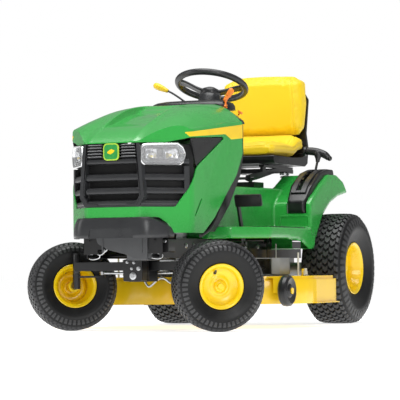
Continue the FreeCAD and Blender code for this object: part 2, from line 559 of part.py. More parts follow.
def grille():
    parts = [strip(6, 26, GRILLE_BOTTOM + 1, GRILLE_TOP - 2)]
    for z in (508, 564, 621, 680):
        parts.append(strip(24, 4, z, z + 20))
    for z in (703, 715, 727, 739, 750):
        parts.append(prism("z", [(-112, NOSE_Y + 5), (112, NOSE_Y + 5), (112, NOSE_Y + 28),
                                 (-112, NOSE_Y + 28)], z, z + 5))
    post = prism("y", [(108, 757), (124, 757), (142, 540), (118, 506), (92, 506), (122, 542)],
                 NOSE_Y + 2, NOSE_Y + 30)
    parts += [post, mirrored(post)]
    pocket = prism("z", [(130, -1528), (257, -1369), (226, -1341), (111, -1499)], 669, 761)
    side_view = [(-1600, 758.5), (-1441, 760.5), (-1352, 782.5), (-1004, 803), (-1300, 669), (-1433, 505),
                 (-1600, 505)]
    save("grille", join(*parts).cut(both_sides(pocket)).common(prism("x", side_view, -400, 400)))
    badge = prism("y", [(-35, 692), (35, 692), (35, 760), (-35, 760)], NOSE_Y - 2, NOSE_Y + 4, 18)
    save("nose_badge", badge)
    lamp = prism("z", [(132, -1520), (250, -1366), (226, -1344), (114, -1500)], 670, 758, 8)
    trim = prism("z", [(136, -1522), (252, -1368), (236, -1356), (122, -1508)], 678, 754, 4)
    lens = prism("z", [(131.5, -1527), (254, -1369), (251.6, -1367.6), (130, -1523.4)], 674, 758)
    save("headlamps", both_sides(lamp.cut(trim)))
    save("headlamp_lenses", both_sides(lens))


def bumper():
    plan = symmetric([(216, -1424), (214, -1452, 40), (160, -1548, 50)])
    inner = symmetric([(211, -1400), (209, -1450, 36), (157, -1543, 46)])
    face = symmetric([(223, 388), (218, 404, 20), (204, 440, 40), (160, 462, 30)])
    shell = prism("z", plan, 380, 470, 0).cut(prism("z", inner, 394, 480, 0))
    shell = shell.common(prism("y", face, -1560, -1400))
    hinge_lugs = []
    for x in (48, 66.5):
        ear = prism("x", [(-1506, 390), (-1508, 476), (-1500, 484), (-1494, 476), (-1478, 390)], x, x + 6)
        ear = ear.fuse(cyl(V(x, HOOD_HINGE.y, HOOD_HINGE.z), X_AXIS, 8, 6))
        ear = ear.cut(cyl(V(x - 1, HOOD_HINGE.y, HOOD_HINGE.z), X_AXIS, 4.0, 9))
        hinge_lugs += [ear, mirrored(ear)]
    save("bumper", join(shell, *hinge_lugs))
    front = [(-1434, 379.5), (-1439, 379.5), (-1439, 328), (-1335, 290), (-1333, 295), (-1434, 332)]
    save("front_plate", prism("x", front, -109, 109))


# ---- operator station ---------------------------------------------------------------------
def pedestal():
    profile = [(-811, 868), (-811, 744), (-876, 652), (-994, 564), (-1117, 467), (-1117, 408),
               (-1060, 408), (-905, 520), (-782, 650), (-744, 742), (-744, 868)]
    hollow = [(-1300, 880), (-752, 880), (-752, 744), (-790, 655), (-912, 527), (-1064, 416),
              (-1064, 380), (-1300, 380)]
    shell = prism("x", profile, -246, 246).cut(prism("x", hollow, -239, 239))
    shell = shell.cut(box(-140, 140, -1200, -940, 380, 508))
    save("pedestal", shell.cut(cyl(V(0, -792, 300), V(0, 0.342, 0.94), 30, 300)))


def dash_section(grow, bottom):
    """The hood's rear section, grown by a margin and closed at a given height."""
    return symmetric([(HOOD_W + grow, bottom), (HOOD_W + grow, 866), (HOOD_W - 8 + grow, 884 + grow),
                      (164 + grow, 955 + grow), (150, 960 + grow), (116, 953 + grow)])


def dash():
    tilt = math.radians(COLUMN_TILT)
    axis = V(0, math.sin(tilt), math.cos(tilt))
    rim_band = prism("y", dash_section(0.5, 800), -814, -788).cut(
        prism("y", dash_section(-4, 700), -820, -792))
    rim_band = rim_band.fuse(prism("y", dash_section(-22, 800), -790, -740).cut(
        prism("y", dash_section(-26, 700), -791, -744)))
    rim_band = rim_band.cut(box(-400, 400, -900, -700, 700, 868.5))
    nose = prism("x", [(-742, 955), (-620, 940), (-548, 912), (-590, 800), (-742, 800)], -130, 130, 14)
    hollow = prism("x", [(-760, 951), (-622, 936), (-553, 909), (-594, 795), (-600, 780), (-760, 780)],
                   -126, 126, 12)
    cowl = Part.makeCone(64, 47, 106, WHEEL_C - axis * 160, axis)
    bore = cyl(WHEEL_C - axis * 300, axis, 16, 300)
    panel = join(rim_band, nose.cut(hollow), cowl.cut(cyl(WHEEL_C - axis * 170, axis, 30, 120)))
    panel = panel.cut(bore).cut(box(163, 183, -790, -738, 930, 980))
    panel = panel.cut(cyl(CHOKE - CHOKE_AXIS * 10, CHOKE_AXIS, 4.4, 40))
    panel = panel.cut(cyl(KEY - KEY_AXIS * 20, KEY_AXIS, 7.4, 40))
    ears = [box(BLADE_PIVOT.x - 6, BLADE_PIVOT.x + 6, y, y + 4, 944, 971)
            for y in (BLADE_PIVOT.y - 14, BLADE_PIVOT.y + 10)]
    pins = [cyl(V(BLADE_PIVOT.x, BLADE_PIVOT.y - 14, BLADE_PIVOT.z), Y_AXIS, 4.0, 28),
            cyl(V(159, THROTTLE.y, THROTTLE.z), X_AXIS, 3.0, 28)]
    save("dash_panel", join(panel, *(ears + pins)))


def fender_profile(drop):
    """Fender crown in side view, from the front foot to the tail, lowered and drawn in by drop."""
    return [(-300 + drop, 540), (-262 + drop, 570 - drop), (-150, 634 - drop), (-60, 676 - drop),
            (40, 678 - drop), (130 - drop, 650 - drop), (188 - drop, 600 - drop * 0.3)]


def fender_deck():
    # saddle tunnel and seat platform
    outer = [(-1010, 396), (-1010, 436), (-880, 530), (-795, PLATFORM_Z - 4), (-300, PLATFORM_Z),
             (190, PLATFORM_Z), (190, 396)]
    inner = [(-1005, 390), (-1005, 432), (-877, 525), (-793, PLATFORM_Z - 9), (-300, PLATFORM_Z - 5),
             (185, PLATFORM_Z - 5), (185, 390)]
    tunnel = prism("x", outer, -TUNNEL_X, TUNNEL_X).cut(prism("x", inner, -TUNNEL_X + 4, TUNNEL_X - 4))
    tunnel = tunnel.cut(cyl(V(0, -792, 300), V(0, 0.342, 0.94), 30, 360))
    tunnel = tunnel.cut(box(-140, 140, -1200, -950, 380, 508))
    # footrests, with a turned-down rim
    plan = [(TUNNEL_X - 2, -1010), (290, -992, 30), (390, -800, 60), (390, -296), (TUNNEL_X - 2, -296)]
    rim_in = [(TUNNEL_X - 4, -1004), (287, -987, 28), (386, -799, 58), (386, -300), (TUNNEL_X - 4, -300)]
    foot = prism("z", plan, 378, FOOT_Z).cut(prism("z", rim_in, 370, FOOT_Z - 5))
    foot = foot.cut(box(100, TUNNEL_X - 1, -1100, -200, 370, 424))
    skirt = prism("x", [(-600, 380), (-430, 368), (-345, 340), (-296, 336), (-296, 400), (-600, 400)],
                  386, 390)
    # fender skins over the rear tyre
    crown = fender_profile(0.0)
    skin = crown + [(r[0], r[1]) for r in reversed(fender_profile(4.0))]
    cover = prism("x", skin, TUNNEL_X - 2, FENDER_X)
    front_wall = box(TUNNEL_X - 2, FENDER_X + 8, -300, -296, 336, 545)
    arch = [(-300, 336), (-272, 338), (-250, 362), (-186, 436), (-135, 493), (-44, 547), (60, 580), (118, 589)]
    cheek = prism("x", arch + list(reversed(crown)), FENDER_X - 4, FENDER_X)
    inner_wall = prism("x", [(-300, 560), (-150, 634), (-60, 676), (40, 678), (130, 650), (188, 600),
                             (188, 560)], TUNNEL_X - 2, TUNNEL_X + 2)
    side = join(foot, skirt, cover, front_wall, cheek, inner_wall)
    console_hole = prism("x", [(-310, 490), (-310, 720), (60, 720), (60, 600), (-100, 555)], 261.5, 362.5)
    side = side.cut(console_hole)
    side = side.cut(box(258, 300, -925, -800, 370, 440))
    body = join(tunnel, side, mirrored(side))
    save("fender_deck", body)


def console(side):
    """Raised console on a fender: the left one is slotted for the lift lever, the right holds a cup."""
    x0, x1 = 262, 362
    outer = [(-304, 497, 16), (-304, 556, 6), (-54, 698, 14), (46, 700, 14), (50, 660), (-60, 640), (-270, 510)]
    hollow = [(-298, 480), (-300, 553), (-53, 694), (43, 696), (46, 640), (46, 400), (-298, 400)]
    skirt = prism("x", outer, x0, x1).cut(prism("x", hollow, x0 + 3.5, x1 - 3.5))
    if side > 0:
        return skirt.cut(prism("x", [(-264, 520), (-264, 800), (16, 800), (16, 520)], 301, 319))
    cup = tube(V(312, -4, 636), Z_AXIS, 42, 38.5, 66)
    floor = cyl(V(312, -4, 633), Z_AXIS, 42, 4)
    skirt = skirt.cut(cyl(V(312, -4, 600), Z_AXIS, 38.5, 200)).cut(box(250, 380, -400, 46, 400, 500))
    return mirrored(join(skirt, cup, floor))


def seat():
    hinge = box(-150, 150, -400, -284, PLATFORM_Z + 0.5, 638.5)
    ears = [box(s * 132 - 4, s * 132 + 4, SEAT_PIVOT.y - 14, SEAT_PIVOT.y + 14, 638.5, 668) for s in (-1, 1)]
    pin = cyl(V(-150, SEAT_PIVOT.y, SEAT_PIVOT.z), X_AXIS, 6.0, 300)
    save("seat_hinge", join(hinge, ears[0], ears[1], pin))
    bar = [(SEAT_PIVOT.y - 14, 647), (SEAT_PIVOT.y - 6, 668), (-60, 712), (150, 712), (150, 694), (-50, 694),
           (-300, 652), (SEAT_PIVOT.y + 14, 642)]
    bars = prism("x", bar, 112, 124, 0)
    bars = bars.cut(cyl(V(100, SEAT_PIVOT.y, SEAT_PIVOT.z), X_AXIS, 6.0 + BORE_GAP, 40))
    crossbars = [box(-124, 124, y, y + 26, 696, 712) for y in (-62, 118)]
    crossbars.append(box(-124, 124, -210, -184, 684, 694))
    spring_plate = box(-172, 172, -52, -14, 690, 695)
    slides = [box(s * 118 - 12, s * 118 + 12, -230, 130, 712, 722) for s in (-1, 1)]
    riser = [box(s * 118 - 6, s * 118 + 6, -230, -190, 680, 713) for s in (-1, 1)]
    save("seat_frame", join(bars, mirrored(bars), spring_plate, *(crossbars + slides + riser)))
    springs = []
    for s in (-1, 1):
        coil = Part.makeHelix(13.0, 52.0, 17.0)
        ring = Part.Wire(Part.makeCircle(3.2, V(17, 0, 0), Y_AXIS))
        spring = Part.Wire(coil).makePipeShell([ring], True, True)
        spring.translate(V(s * 152, -33, 625.3))
        pads = [cyl(V(s * 152, -33, z0), Z_AXIS, 22, z1 - z0) for z0, z1 in ((615, 621.9), (680.7, 689.9))]
        springs += [spring, pads[0], pads[1]]
    save("seat_springs", Part.makeCompound(springs))
    pan = prism("x", [(-300, 742), (-288, 726), (90, 723), (124, 738), (188, 1040), (176, 1112), (164, 1112),
                      (176, 1036), (112, 786), (60, 764), (-60, 758), (-300, 760)], -206, 206, 6)
    pan = pan.common(prism("y", symmetric([(206, 700), (206, 812), (192, 880), (192, 1040), (150, 1120)]),
                           -320, 240, 24))
    shoe = [box(s * 118 - 16, s * 118 + 16, -180, 60, 722.4, 726) for s in (-1, 1)]
    save("seat_pan", join(pan, shoe[0], shoe[1]))
    cushion = prism("x", [(-304, 762), (-300, 822), (-60, 828), (56, 872), (104, 862), (104, 802), (60, 768),
                          (-60, 761)], -208, 208, 12)
    save("seat_cushion", cushion)
    back = prism("x", [(60, 884), (58, 1080), (84, 1150), (140, 1156), (159, 1124), (163, 1090),
                       (175.4, 1036), (136.5, 884), (96, 872)], -206, 206, 14)
    save("seat_back", back.common(prism("y", symmetric([(182, 866), (207, 910), (204, 1084),
                                                        (166, 1158)]), 0, 260, 40)))


def pedals():
    def pedal(x_arm, pad_x0, pad_x1, pad_y, pad_z, tall, shaft_x0, shaft_x1):
        arm = flat_bar(V(x_arm, PEDAL_Y, PEDAL_Z), V(x_arm, pad_y + 6, pad_z), 9, 12)
        pad = box(pad_x0, pad_x1, -7, 7, -tall / 2.0, tall / 2.0)
        pad = turned(pad, V(0, 0, 0), X_AXIS, 18)
        pad.translate(V(0, pad_y, pad_z))
        shaft = cyl(V(shaft_x0, PEDAL_Y, PEDAL_Z), X_AXIS, 9.0, shaft_x1 - shaft_x0)
        return join(arm, pad, shaft)
    save("brake_pedal", pedal(278, 270, 385, -898, 538, 46, 100, 290))
    save("forward_pedal", pedal(-271, -344, -266.5, -898, 530, 62, -308, -100))
    # the reverse pedal turns on a sleeve round the outer end of the forward pedal's shaft
    reverse = join(pedal(-290, -372, -285, -868, 476, 40, -304, -280),
                   cyl(V(-304, PEDAL_Y, PEDAL_Z), X_AXIS, 14, 24))
    save("reverse_pedal", reverse.cut(cyl(V(-310, PEDAL_Y, PEDAL_Z), X_AXIS, 9.0 + BORE_GAP, 60)))


def flat_bar(p, q, width, thick):
    """A bar of rectangular section between two points of one X plane."""
    run = q.sub(p)
    bar = box(-width / 2.0, width / 2.0, -thick, thick, 0, run.Length)
    bar = turned(bar, V(0, 0, 0), X_AXIS, -math.degrees(math.atan2(run.y, run.z)))
    bar.translate(p)
    return bar


def controls():
    base = LIFT_PIVOT
    top = V(310, -16, 748)
    grip = join(rod(V(253, -8, 787), V(334, -8, 775), 15), Part.makeSphere(15, V(334, -8, 775)),
                rod(V(334, -8, 775), V(364, -8, 752), 12), Part.makeSphere(12, V(364, -8, 752)),
                rod(V(245, -8, 788.2), V(253, -8, 787), 22), rod(V(310, -22, 738), V(310, -8, 776), 8))
    shaft = cyl(V(-188, base.y, base.z), X_AXIS, 10.0, 188 + base.x + 8)
    arms = []
    for s in (-1, 1):
        arm = flat_bar(V(s * 172.5, base.y, base.z), V(s * 172.5, LIFT_TIP_Y, LIFT_TIP_Z), 7, 9)
        pin = cyl(V(s * 169, LIFT_TIP_Y, LIFT_TIP_Z), V(s, 0, 0), 5, 22)
        arms += [arm, pin, cyl(V(s * 169, LIFT_TIP_Y, LIFT_TIP_Z), V(s, 0, 0), 9, 7)]
    save("lift_lever", join(grip, rod(base, top, 5.5), shaft, *arms))
    stem = rod(THROTTLE, V(174, -760, 984), 4)
    knob = join(rod(V(171, -762, 978), V(190, -748, 1014), 9), Part.makeSphere(9, V(171, -762, 978)),
                Part.makeSphere(13, V(192, -747, 1016)), rod(V(180, -755, 995), V(192, -747, 1016), 12))
    lever = join(stem, knob, cyl(V(165, THROTTLE.y, THROTTLE.z), X_AXIS, 8, 16))
    save("throttle_lever", lever.cut(cyl(V(160, THROTTLE.y, THROTTLE.z), X_AXIS, 3.0 + BORE_GAP, 30)))
    arm = join(rod(BLADE_PIVOT, V(-60, -684, 1005), 4), Part.makeSphere(4, V(-60, -684, 1005)),
               rod(V(-60, -684, 1005), V(-134, -680, 1038), 4))
    grip = join(rod(V(-132, -680, 1037), V(-176, -684, 1054), 13), Part.makeSphere(13, V(-176, -684, 1054)),
                Part.makeSphere(9, V(-130, -680, 1036)))
    hub = cyl(V(BLADE_PIVOT.x, BLADE_PIVOT.y - 9, BLADE_PIVOT.z), Y_AXIS, 9, 18)
    lever = join(arm, grip, hub)
    save("blade_lever", lever.cut(cyl(V(BLADE_PIVOT.x, BLADE_PIVOT.y - 20, BLADE_PIVOT.z), Y_AXIS, 4.0 + BORE_GAP, 40)))
    knob = join(cyl(CHOKE, CHOKE_AXIS, 4, 16), cyl(CHOKE + CHOKE_AXIS * 12, CHOKE_AXIS, 11, 9))
    save("choke_knob", knob)
    blade = turned(box(-2, 2, -10, 10, 0, 20), V(0, 0, 0), X_AXIS, -23.5)
    blade.translate(KEY + KEY_AXIS * 8)
    save("ignition_key", join(cyl(KEY, KEY_AXIS, 7, 9), blade))


# ---- mower deck ---------------------------------------------------------------------------
def deck_outline(grow):
    """Plan of the shell: two scallops in front, straight sides and rear, all grown by a margin."""
    r = DECK_R + grow
    left, right = V(SPINDLE_X, DECK_Y, 0), V(-SPINDLE_X, DECK_Y, 0)
    side_x, rear_y = SPINDLE_X + r, DECK_Y + r
    notch = math.sqrt(r * r - SPINDLE_X * SPINDLE_X)

    def on_arc(centre, angle):
        return centre + V(r * math.cos(math.radians(angle)), r * math.sin(math.radians(angle)), 0)
    corner = 60.0
    rc = V(side_x - corner, rear_y - corner, 0)
    lc = V(-side_x + corner, rear_y - corner, 0)
    s45 = corner * math.sqrt(0.5)
    middle = V(0, DECK_Y - notch, 0)
    edges = [Part.Arc(V(side_x, DECK_Y, 0), on_arc(left, -60), middle).toShape(),
             Part.Arc(middle, on_arc(right, -120), V(-side_x, DECK_Y, 0)).toShape(),
             Part.LineSegment(V(-side_x, DECK_Y, 0), V(-side_x, rear_y - corner, 0)).toShape(),
             Part.Arc(V(-side_x, rear_y - corner, 0), lc + V(-s45, s45, 0), V(-side_x + corner, rear_y, 0)).toShape(),
             Part.LineSegment(V(-side_x + corner, rear_y, 0), V(side_x - corner, rear_y, 0)).toShape(),
             Part.Arc(V(side_x - corner, rear_y, 0), rc + V(s45, s45, 0), V(side_x, rear_y - corner, 0)).toShape(),
             Part.LineSegment(V(side_x, rear_y - corner, 0), V(side_x, DECK_Y, 0)).toShape()]
    return Part.Face(Part.Wire(edges))


def slab(face, z0, z1):
    solid = face.extrude(Z_AXIS * (z1 - z0))
    solid.translate(V(0, 0, z0))
    return solid


def spindle_at(side):
    return V(side * SPINDLE_X, DECK_Y - side * SPINDLE_STAGGER, 0)


def deck():
    shell = slab(deck_outline(0), DECK_BOTTOM, DECK_TOP - 14).fuse(slab(deck_outline(-10), DECK_TOP - 14, DECK_TOP))
    flange = slab(deck_outline(12), DECK_BOTTOM, DECK_BOTTOM + 4).cut(box(-700, 700, -1100, -700, 90, 120))
    shell = shell.fuse(flange)
    inner = slab(deck_outline(-DECK_SKIN), DECK_BOTTOM - 5, DECK_TOP - 16).fuse(
        slab(deck_outline(-13), DECK_TOP - 17, DECK_TOP - DECK_SKIN))
    shell = shell.cut(inner)
    shell = shell.cut(box(-600, -500, -790, -560, 90, DECK_TOP - 20))
    for side in (1, -1):
        shell = shell.cut(cyl(spindle_at(side) + V(0, 0, 200), Z_AXIS, 34, 40))
    bracket = prism("x", [(-470, 218), (-470, 232), (-352, 262), (-318, 262), (-318, 238), (-392, 218)],
                    178.5, 184)
    bracket = bracket.cut(cyl(V(170, -331, 250), X_AXIS, 5.4, 20))
    gauge_arm = join(box(452, 486, -936, -928, 150, 216), box(420, 486, -936, -850, 212, 218))
    gauge_pin = cyl(V(470, GAUGE.y, GAUGE.z), X_AXIS, 8.0, 68)
    foot = box(415, 470, -880, -850, 205, 214)
    arm = join(gauge_arm, gauge_pin, foot, box(470, 484, -944, -920, 147, 171),
               cyl(V(534.2, GAUGE.y, GAUGE.z), X_AXIS, 13, 4))
    port = join(cyl(V(440, -560, DECK_TOP - 2), Z_AXIS, 10, 6), cyl(V(440, -560, DECK_TOP), Z_AXIS, 6, 30))
    shell = join(shell, bracket, mirrored(bracket), arm, mirrored(arm), port)
    hinge = tube(V(CHUTE_HINGE.x, -780, CHUTE_HINGE.z), Y_AXIS, 9, 4.0, 60)
    hinge2 = tube(V(CHUTE_HINGE.x, -640, CHUTE_HINGE.z), Y_AXIS, 9, 4.0, 60)
    rib = [box(CHUTE_HINGE.x, -528, y, y + 60, 204, 212) for y in (-780, -640)]
    rib = [r.cut(cyl(V(CHUTE_HINGE.x, -800, CHUTE_HINGE.z), Y_AXIS, 4.0, 300)) for r in rib]
    save("deck_shell", join(shell, hinge, hinge2, *rib))
    covers = []
    for side in (1, -1):
        c = spindle_at(side)
        housing = tube(c + V(0, 0, 150), Z_AXIS, 30, 12.5 + BORE_GAP, 84)
        foot = tube(c + V(0, 0, DECK_TOP), Z_AXIS, 62, 12.5 + BORE_GAP, 5)
        far = c + V(side * 60, 68, 0)
        run = flat_arm(c, far, 228, 298, 82.0).cut(flat_arm(c, far, 200, 295, 78.5))
        opening = box(-600, 600, -1100, -706, 226, 294.9) if side > 0 else box(-600, 600, -1100, -670, 226, 294.9)
        run = run.cut(opening)
        leg = flat_arm(far, far + V(side * 6, 6, 0), DECK_TOP, 229, 60.0)
        run = run.cut(box(-215, 215, -1000, -400, 226, 294.9))
        covers.append(join(housing, foot))
        covers.append(join(run, leg.cut(flat_arm(far, far + V(side * 6, 6, 0), 200, 240, 56.0))))
    save("spindle_covers", Part.makeCompound(covers))
    for side, word in ((1, "left"), (-1, "right")):
        c = spindle_at(side)
        bar = box(-BLADE_LEN / 2, BLADE_LEN / 2, -BLADE_W / 2, BLADE_W / 2, BLADE_Z, BLADE_Z + BLADE_T)
        sail = box(BLADE_LEN / 2 - 110, BLADE_LEN / 2, 6, BLADE_W / 2, BLADE_Z, BLADE_Z + 14)
        body = join(bar, sail, turned(sail, V(0, 0, 0), Z_AXIS, 180), cyl(V(0, 0, BLADE_Z), Z_AXIS, 12.5, 164),
                    cyl(V(0, 0, BLADE_Z - 10), Z_AXIS, 16, 10),
                    cyl(V(0, 0, BLADE_Z + BLADE_T), Z_AXIS, 28, 30),
                    revolve_z([(8, 244), (PULLEY_R, 244), (PULLEY_R, 246), (GROOVE_R, 247.5),
                               (GROOVE_R, 260.5), (PULLEY_R, 262), (PULLEY_R, 264), (8, 264)]))
        body = turned(body, V(0, 0, 0), Z_AXIS, 25.0 * side)
        body.translate(c)
        save("blade_" + word, body)
        wheel = revolve_x([(-GAUGE_W / 2, 20), (-GAUGE_W / 2, GAUGE_R - 12), (-GAUGE_W / 2 + 8, GAUGE_R - 2),
                           (0, GAUGE_R), (GAUGE_W / 2 - 8, GAUGE_R - 2), (GAUGE_W / 2, GAUGE_R - 12),
                           (GAUGE_W / 2 - 8, 30), (GAUGE_W / 2, 20), (GAUGE_W / 2, 8 + BORE_GAP),
                           (-GAUGE_W / 2, 8 + BORE_GAP)])
        if side < 0:
            wheel = mirrored(wheel)
        wheel.translate(V(side * GAUGE.x, GAUGE.y, GAUGE.z))
        save("gauge_wheel_" + word, wheel)
    belt()
    chute()
    links()


def belt():
    """The V belt's loop: round the crankshaft pulley and outside both deck pulleys."""
    wheels_on_path = [(CRANK, 53.5, 329.0), (spindle_at(1), 51.5, 254.0), (spindle_at(-1), 51.5, 254.0)]
    normals = []
    for i, (a, ra, _) in enumerate(wheels_on_path):
        b, rb, _ = wheels_on_path[(i + 1) % 3]
        run = b.sub(a)
        run.z = 0
        lean = (ra - rb) / run.Length
        run.normalize()
        normals.append(run * lean + V(run.y, -run.x, 0) * math.sqrt(1 - lean * lean))
    pieces = []
    for i, (a, ra, za) in enumerate(wheels_on_path):
        b, rb, zb = wheels_on_path[(i + 1) % 3]
        u, before = normals[i], normals[i - 1]
        start = math.degrees(math.atan2(before.y, before.x))
        sweep = (math.degrees(math.atan2(u.y, u.x)) - start) % 360.0
        bend = Part.makeTorus(ra, 4.5, V(0, 0, 0), Z_AXIS, -180, 180, sweep)
        bend.rotate(V(0, 0, 0), Z_AXIS, start)
        bend.translate(V(a.x, a.y, za))
        p, q = V(a.x, a.y, za) + u * ra, V(b.x, b.y, zb) + u * rb
        pieces += [bend, rod(p, q, 4.5), Part.makeSphere(4.5, p), Part.makeSphere(4.5, q)]
    save("deck_belt", join(*pieces))


def chute():
    """Hinged discharge deflector: a sloped roof with two cheeks and hinge knuckles."""
    x, z = CHUTE_HINGE.x, CHUTE_HINGE.z
    tip = x - CHUTE_REACH
    roof = [(x - 11, z + 4), (x - 11, z), (tip, 152), (tip, 156)]
    body = prism("y", roof, -800, -545)
    cheek = prism("y", [(x - 12, z + 2), (x - 12, 140), (tip, 128), (tip, 155)], -800, -796)
    other = cheek.translated(V(0, 251, 0))
    knuckles = [cyl(V(x, y, z), Y_AXIS, 9, 38) for y in (-819, -718, -578)]
    ribs = [box(x - 14, x - 6, y, y + 38, z - 3, z + 4) for y in (-819, -718, -578)]
    pin = cyl(V(x, -819, z), Y_AXIS, 3.95, 279)
    save("discharge_chute", join(body, cheek, other, pin, *(knuckles + ribs)))


def links():
    """Lift links of the deck: slotted at the top for the lift arms' pins."""
    y, z = LIFT_TIP_Y, LIFT_TIP_Z
    plates = []
    for s in (-1, 1):
        plate = prism("x", [(y - 17, z - 20), (y - 17, z + 24), (y + 35, z + 24), (y + 35, z - 20),
                            (-318, 238), (-344, 238)], 185, 189)
        plate = plate.cut(box(180, 200, y - 8, y + 26, z - 8, z + 15))
        piece = join(plate, cyl(V(176, -331, 250), X_AXIS, 5, 14))
        plates.append(piece if s > 0 else mirrored(piece))
    save("lift_links", Part.makeCompound(plates))


BUILT = []
os.makedirs("parts", exist_ok=True)
WHEEL_Z = wheels()
steering(WHEEL_Z)
frame()
engine()
transaxle()
hood()
grille()
bumper()
pedestal()
dash()
fender_deck()
save("consoles", Part.makeCompound([console(1), console(-1)]))
seat()
pedals()
controls()
deck()

TOTAL = BUILT[0]
for bounds in BUILT[1:]:
    TOTAL.add(bounds)
print("wheel centre height %.2f" % WHEEL_Z)
print("row box X %.1f..%.1f  Y %.1f..%.1f  Z %.1f..%.1f" % (
    TOTAL.XMin, TOTAL.XMax, TOTAL.YMin, TOTAL.YMax, TOTAL.ZMin, TOTAL.ZMax))
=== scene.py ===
"""Riding lawn mower: the detailed visual model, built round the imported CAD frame.

Pieces are drawn in the chassis frame, in millimetres: +Z up, the mower faces -Y, +X is the operator's
left, and the origin is on the ground below the middle of the rear axle. TO_ROW takes them to the frame.
"""
import bpy
import bmesh
import json
import math
import random
from mathutils import Matrix, Vector


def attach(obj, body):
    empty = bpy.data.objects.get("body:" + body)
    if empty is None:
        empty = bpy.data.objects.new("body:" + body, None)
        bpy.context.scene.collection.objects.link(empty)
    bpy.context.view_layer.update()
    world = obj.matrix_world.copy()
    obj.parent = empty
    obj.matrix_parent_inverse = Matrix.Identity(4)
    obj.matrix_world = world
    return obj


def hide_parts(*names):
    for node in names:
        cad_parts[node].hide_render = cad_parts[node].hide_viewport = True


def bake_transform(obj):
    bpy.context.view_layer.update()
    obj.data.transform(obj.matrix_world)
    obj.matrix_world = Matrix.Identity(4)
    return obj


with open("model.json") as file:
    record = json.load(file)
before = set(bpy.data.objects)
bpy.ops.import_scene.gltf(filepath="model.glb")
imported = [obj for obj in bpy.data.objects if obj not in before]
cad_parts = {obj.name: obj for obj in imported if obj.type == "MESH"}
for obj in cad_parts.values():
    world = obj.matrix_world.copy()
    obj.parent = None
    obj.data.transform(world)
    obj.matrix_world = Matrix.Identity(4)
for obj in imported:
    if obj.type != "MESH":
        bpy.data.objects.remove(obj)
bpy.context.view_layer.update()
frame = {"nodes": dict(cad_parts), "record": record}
random.seed(7)
SCENE = bpy.context.scene
SCENE.view_settings.view_transform = "Standard"

CHASSIS_ORIGIN = Vector((78.5, 650.0, 0.0))         # middle of the rear axle in the row frame, millimetres
TO_ROW = Matrix.Scale(0.001, 4) @ Matrix.Translation(CHASSIS_ORIGIN)

# dimensions shared with the CAD part, millimetres
FRONT_AXLE_Y, KINGPIN_X, SCRUB, CAMBER, STEER_REST, FRONT_WHEEL_Z = -1243.0, 307.0, 86.0, 3.5, -50.5, 185.69
REAR_X, REAR_TYRE_R = 397.5, 249.5
HOOD_W, HOOD_SKIN, NOSE_Y, NOSE_X, CHEEK_Y = 272.0, 4.0, -1534.0, 118.0, -1345.0
WHEEL_C, COLUMN_TILT = Vector((0, -512, 1065)), 20.0


# ---- materials ------------------------------------------------------------------------------
def srgb(red, green, blue):
    return tuple((c / 255 / 12.92) if c <= 10 else ((c / 255 + 0.055) / 1.055) ** 2.4
                 for c in (red, green, blue))


def look(name, colour, rough, metal=0.0, coat=0.0, vary=0.1, patch=0.08, grain=0.0, size=0.0012,
         texture="noise", spread=0.08, sheen=0.0, alpha=1.0, gloss=0.5, stretch=(1, 1, 1)):
    """A procedural finish: slow colour and roughness changes, and a fine grain, all in object space."""
    mat = bpy.data.materials.new(name)
    mat.use_nodes = True
    tree = mat.node_tree
    nodes, link = tree.nodes, tree.links.new
    shader = nodes["Principled BSDF"]
    shader.inputs["Metallic"].default_value = metal
    shader.inputs["Coat Weight"].default_value = coat
    shader.inputs["Coat Roughness"].default_value = 0.08
    shader.inputs["Sheen Weight"].default_value = sheen
    shader.inputs["Alpha"].default_value = alpha
    shader.inputs["Specular IOR Level"].default_value = gloss
    coord = nodes.new("ShaderNodeTexCoord")
    slow = nodes.new("ShaderNodeTexNoise")
    slow.inputs["Scale"].default_value = 1.0 / patch
    slow.inputs["Detail"].default_value = 5.0
    link(coord.outputs["Object"], slow.inputs["Vector"])
    ramp = nodes.new("ShaderNodeValToRGB")
    ramp.color_ramp.elements[0].position, ramp.color_ramp.elements[1].position = 0.3, 0.72
    ramp.color_ramp.elements[0].color = tuple(c * (1 - vary) for c in colour) + (1.0,)
    ramp.color_ramp.elements[1].color = tuple(min(1.0, c * (1 + vary)) for c in colour) + (1.0,)
    link(slow.outputs["Fac"], ramp.inputs["Fac"])
    link(ramp.outputs["Color"], shader.inputs["Base Color"])
    fine = nodes.new("ShaderNodeTexVoronoi" if texture == "voronoi" else "ShaderNodeTexNoise")
    fine.inputs["Scale"].default_value = 1.0 / size
    mapping = nodes.new("ShaderNodeMapping")
    mapping.inputs["Scale"].default_value = stretch
    link(coord.outputs["Object"], mapping.inputs["Vector"])
    link(mapping.outputs["Vector"], fine.inputs["Vector"])
    value = fine.outputs["Distance"] if texture == "voronoi" else fine.outputs["Fac"]
    blend = nodes.new("ShaderNodeMix")
    blend.inputs["Factor"].default_value = 0.4
    link(slow.outputs["Fac"], blend.inputs["A"])
    link(value, blend.inputs["B"])
    band = nodes.new("ShaderNodeMapRange")
    band.inputs["From Min"].default_value, band.inputs["From Max"].default_value = 0.25, 0.75
    band.inputs["To Min"].default_value = max(0.02, rough - spread)
    band.inputs["To Max"].default_value = min(1.0, rough + spread)
    link(blend.outputs["Result"], band.inputs["Value"])
    link(band.outputs["Result"], shader.inputs["Roughness"])
    if grain > 0:
        bump = nodes.new("ShaderNodeBump")
        bump.inputs["Strength"].default_value = grain
        bump.inputs["Distance"].default_value = size * 0.35
        link(value, bump.inputs["Height"])
        link(bump.outputs["Normal"], shader.inputs["Normal"])
    return mat


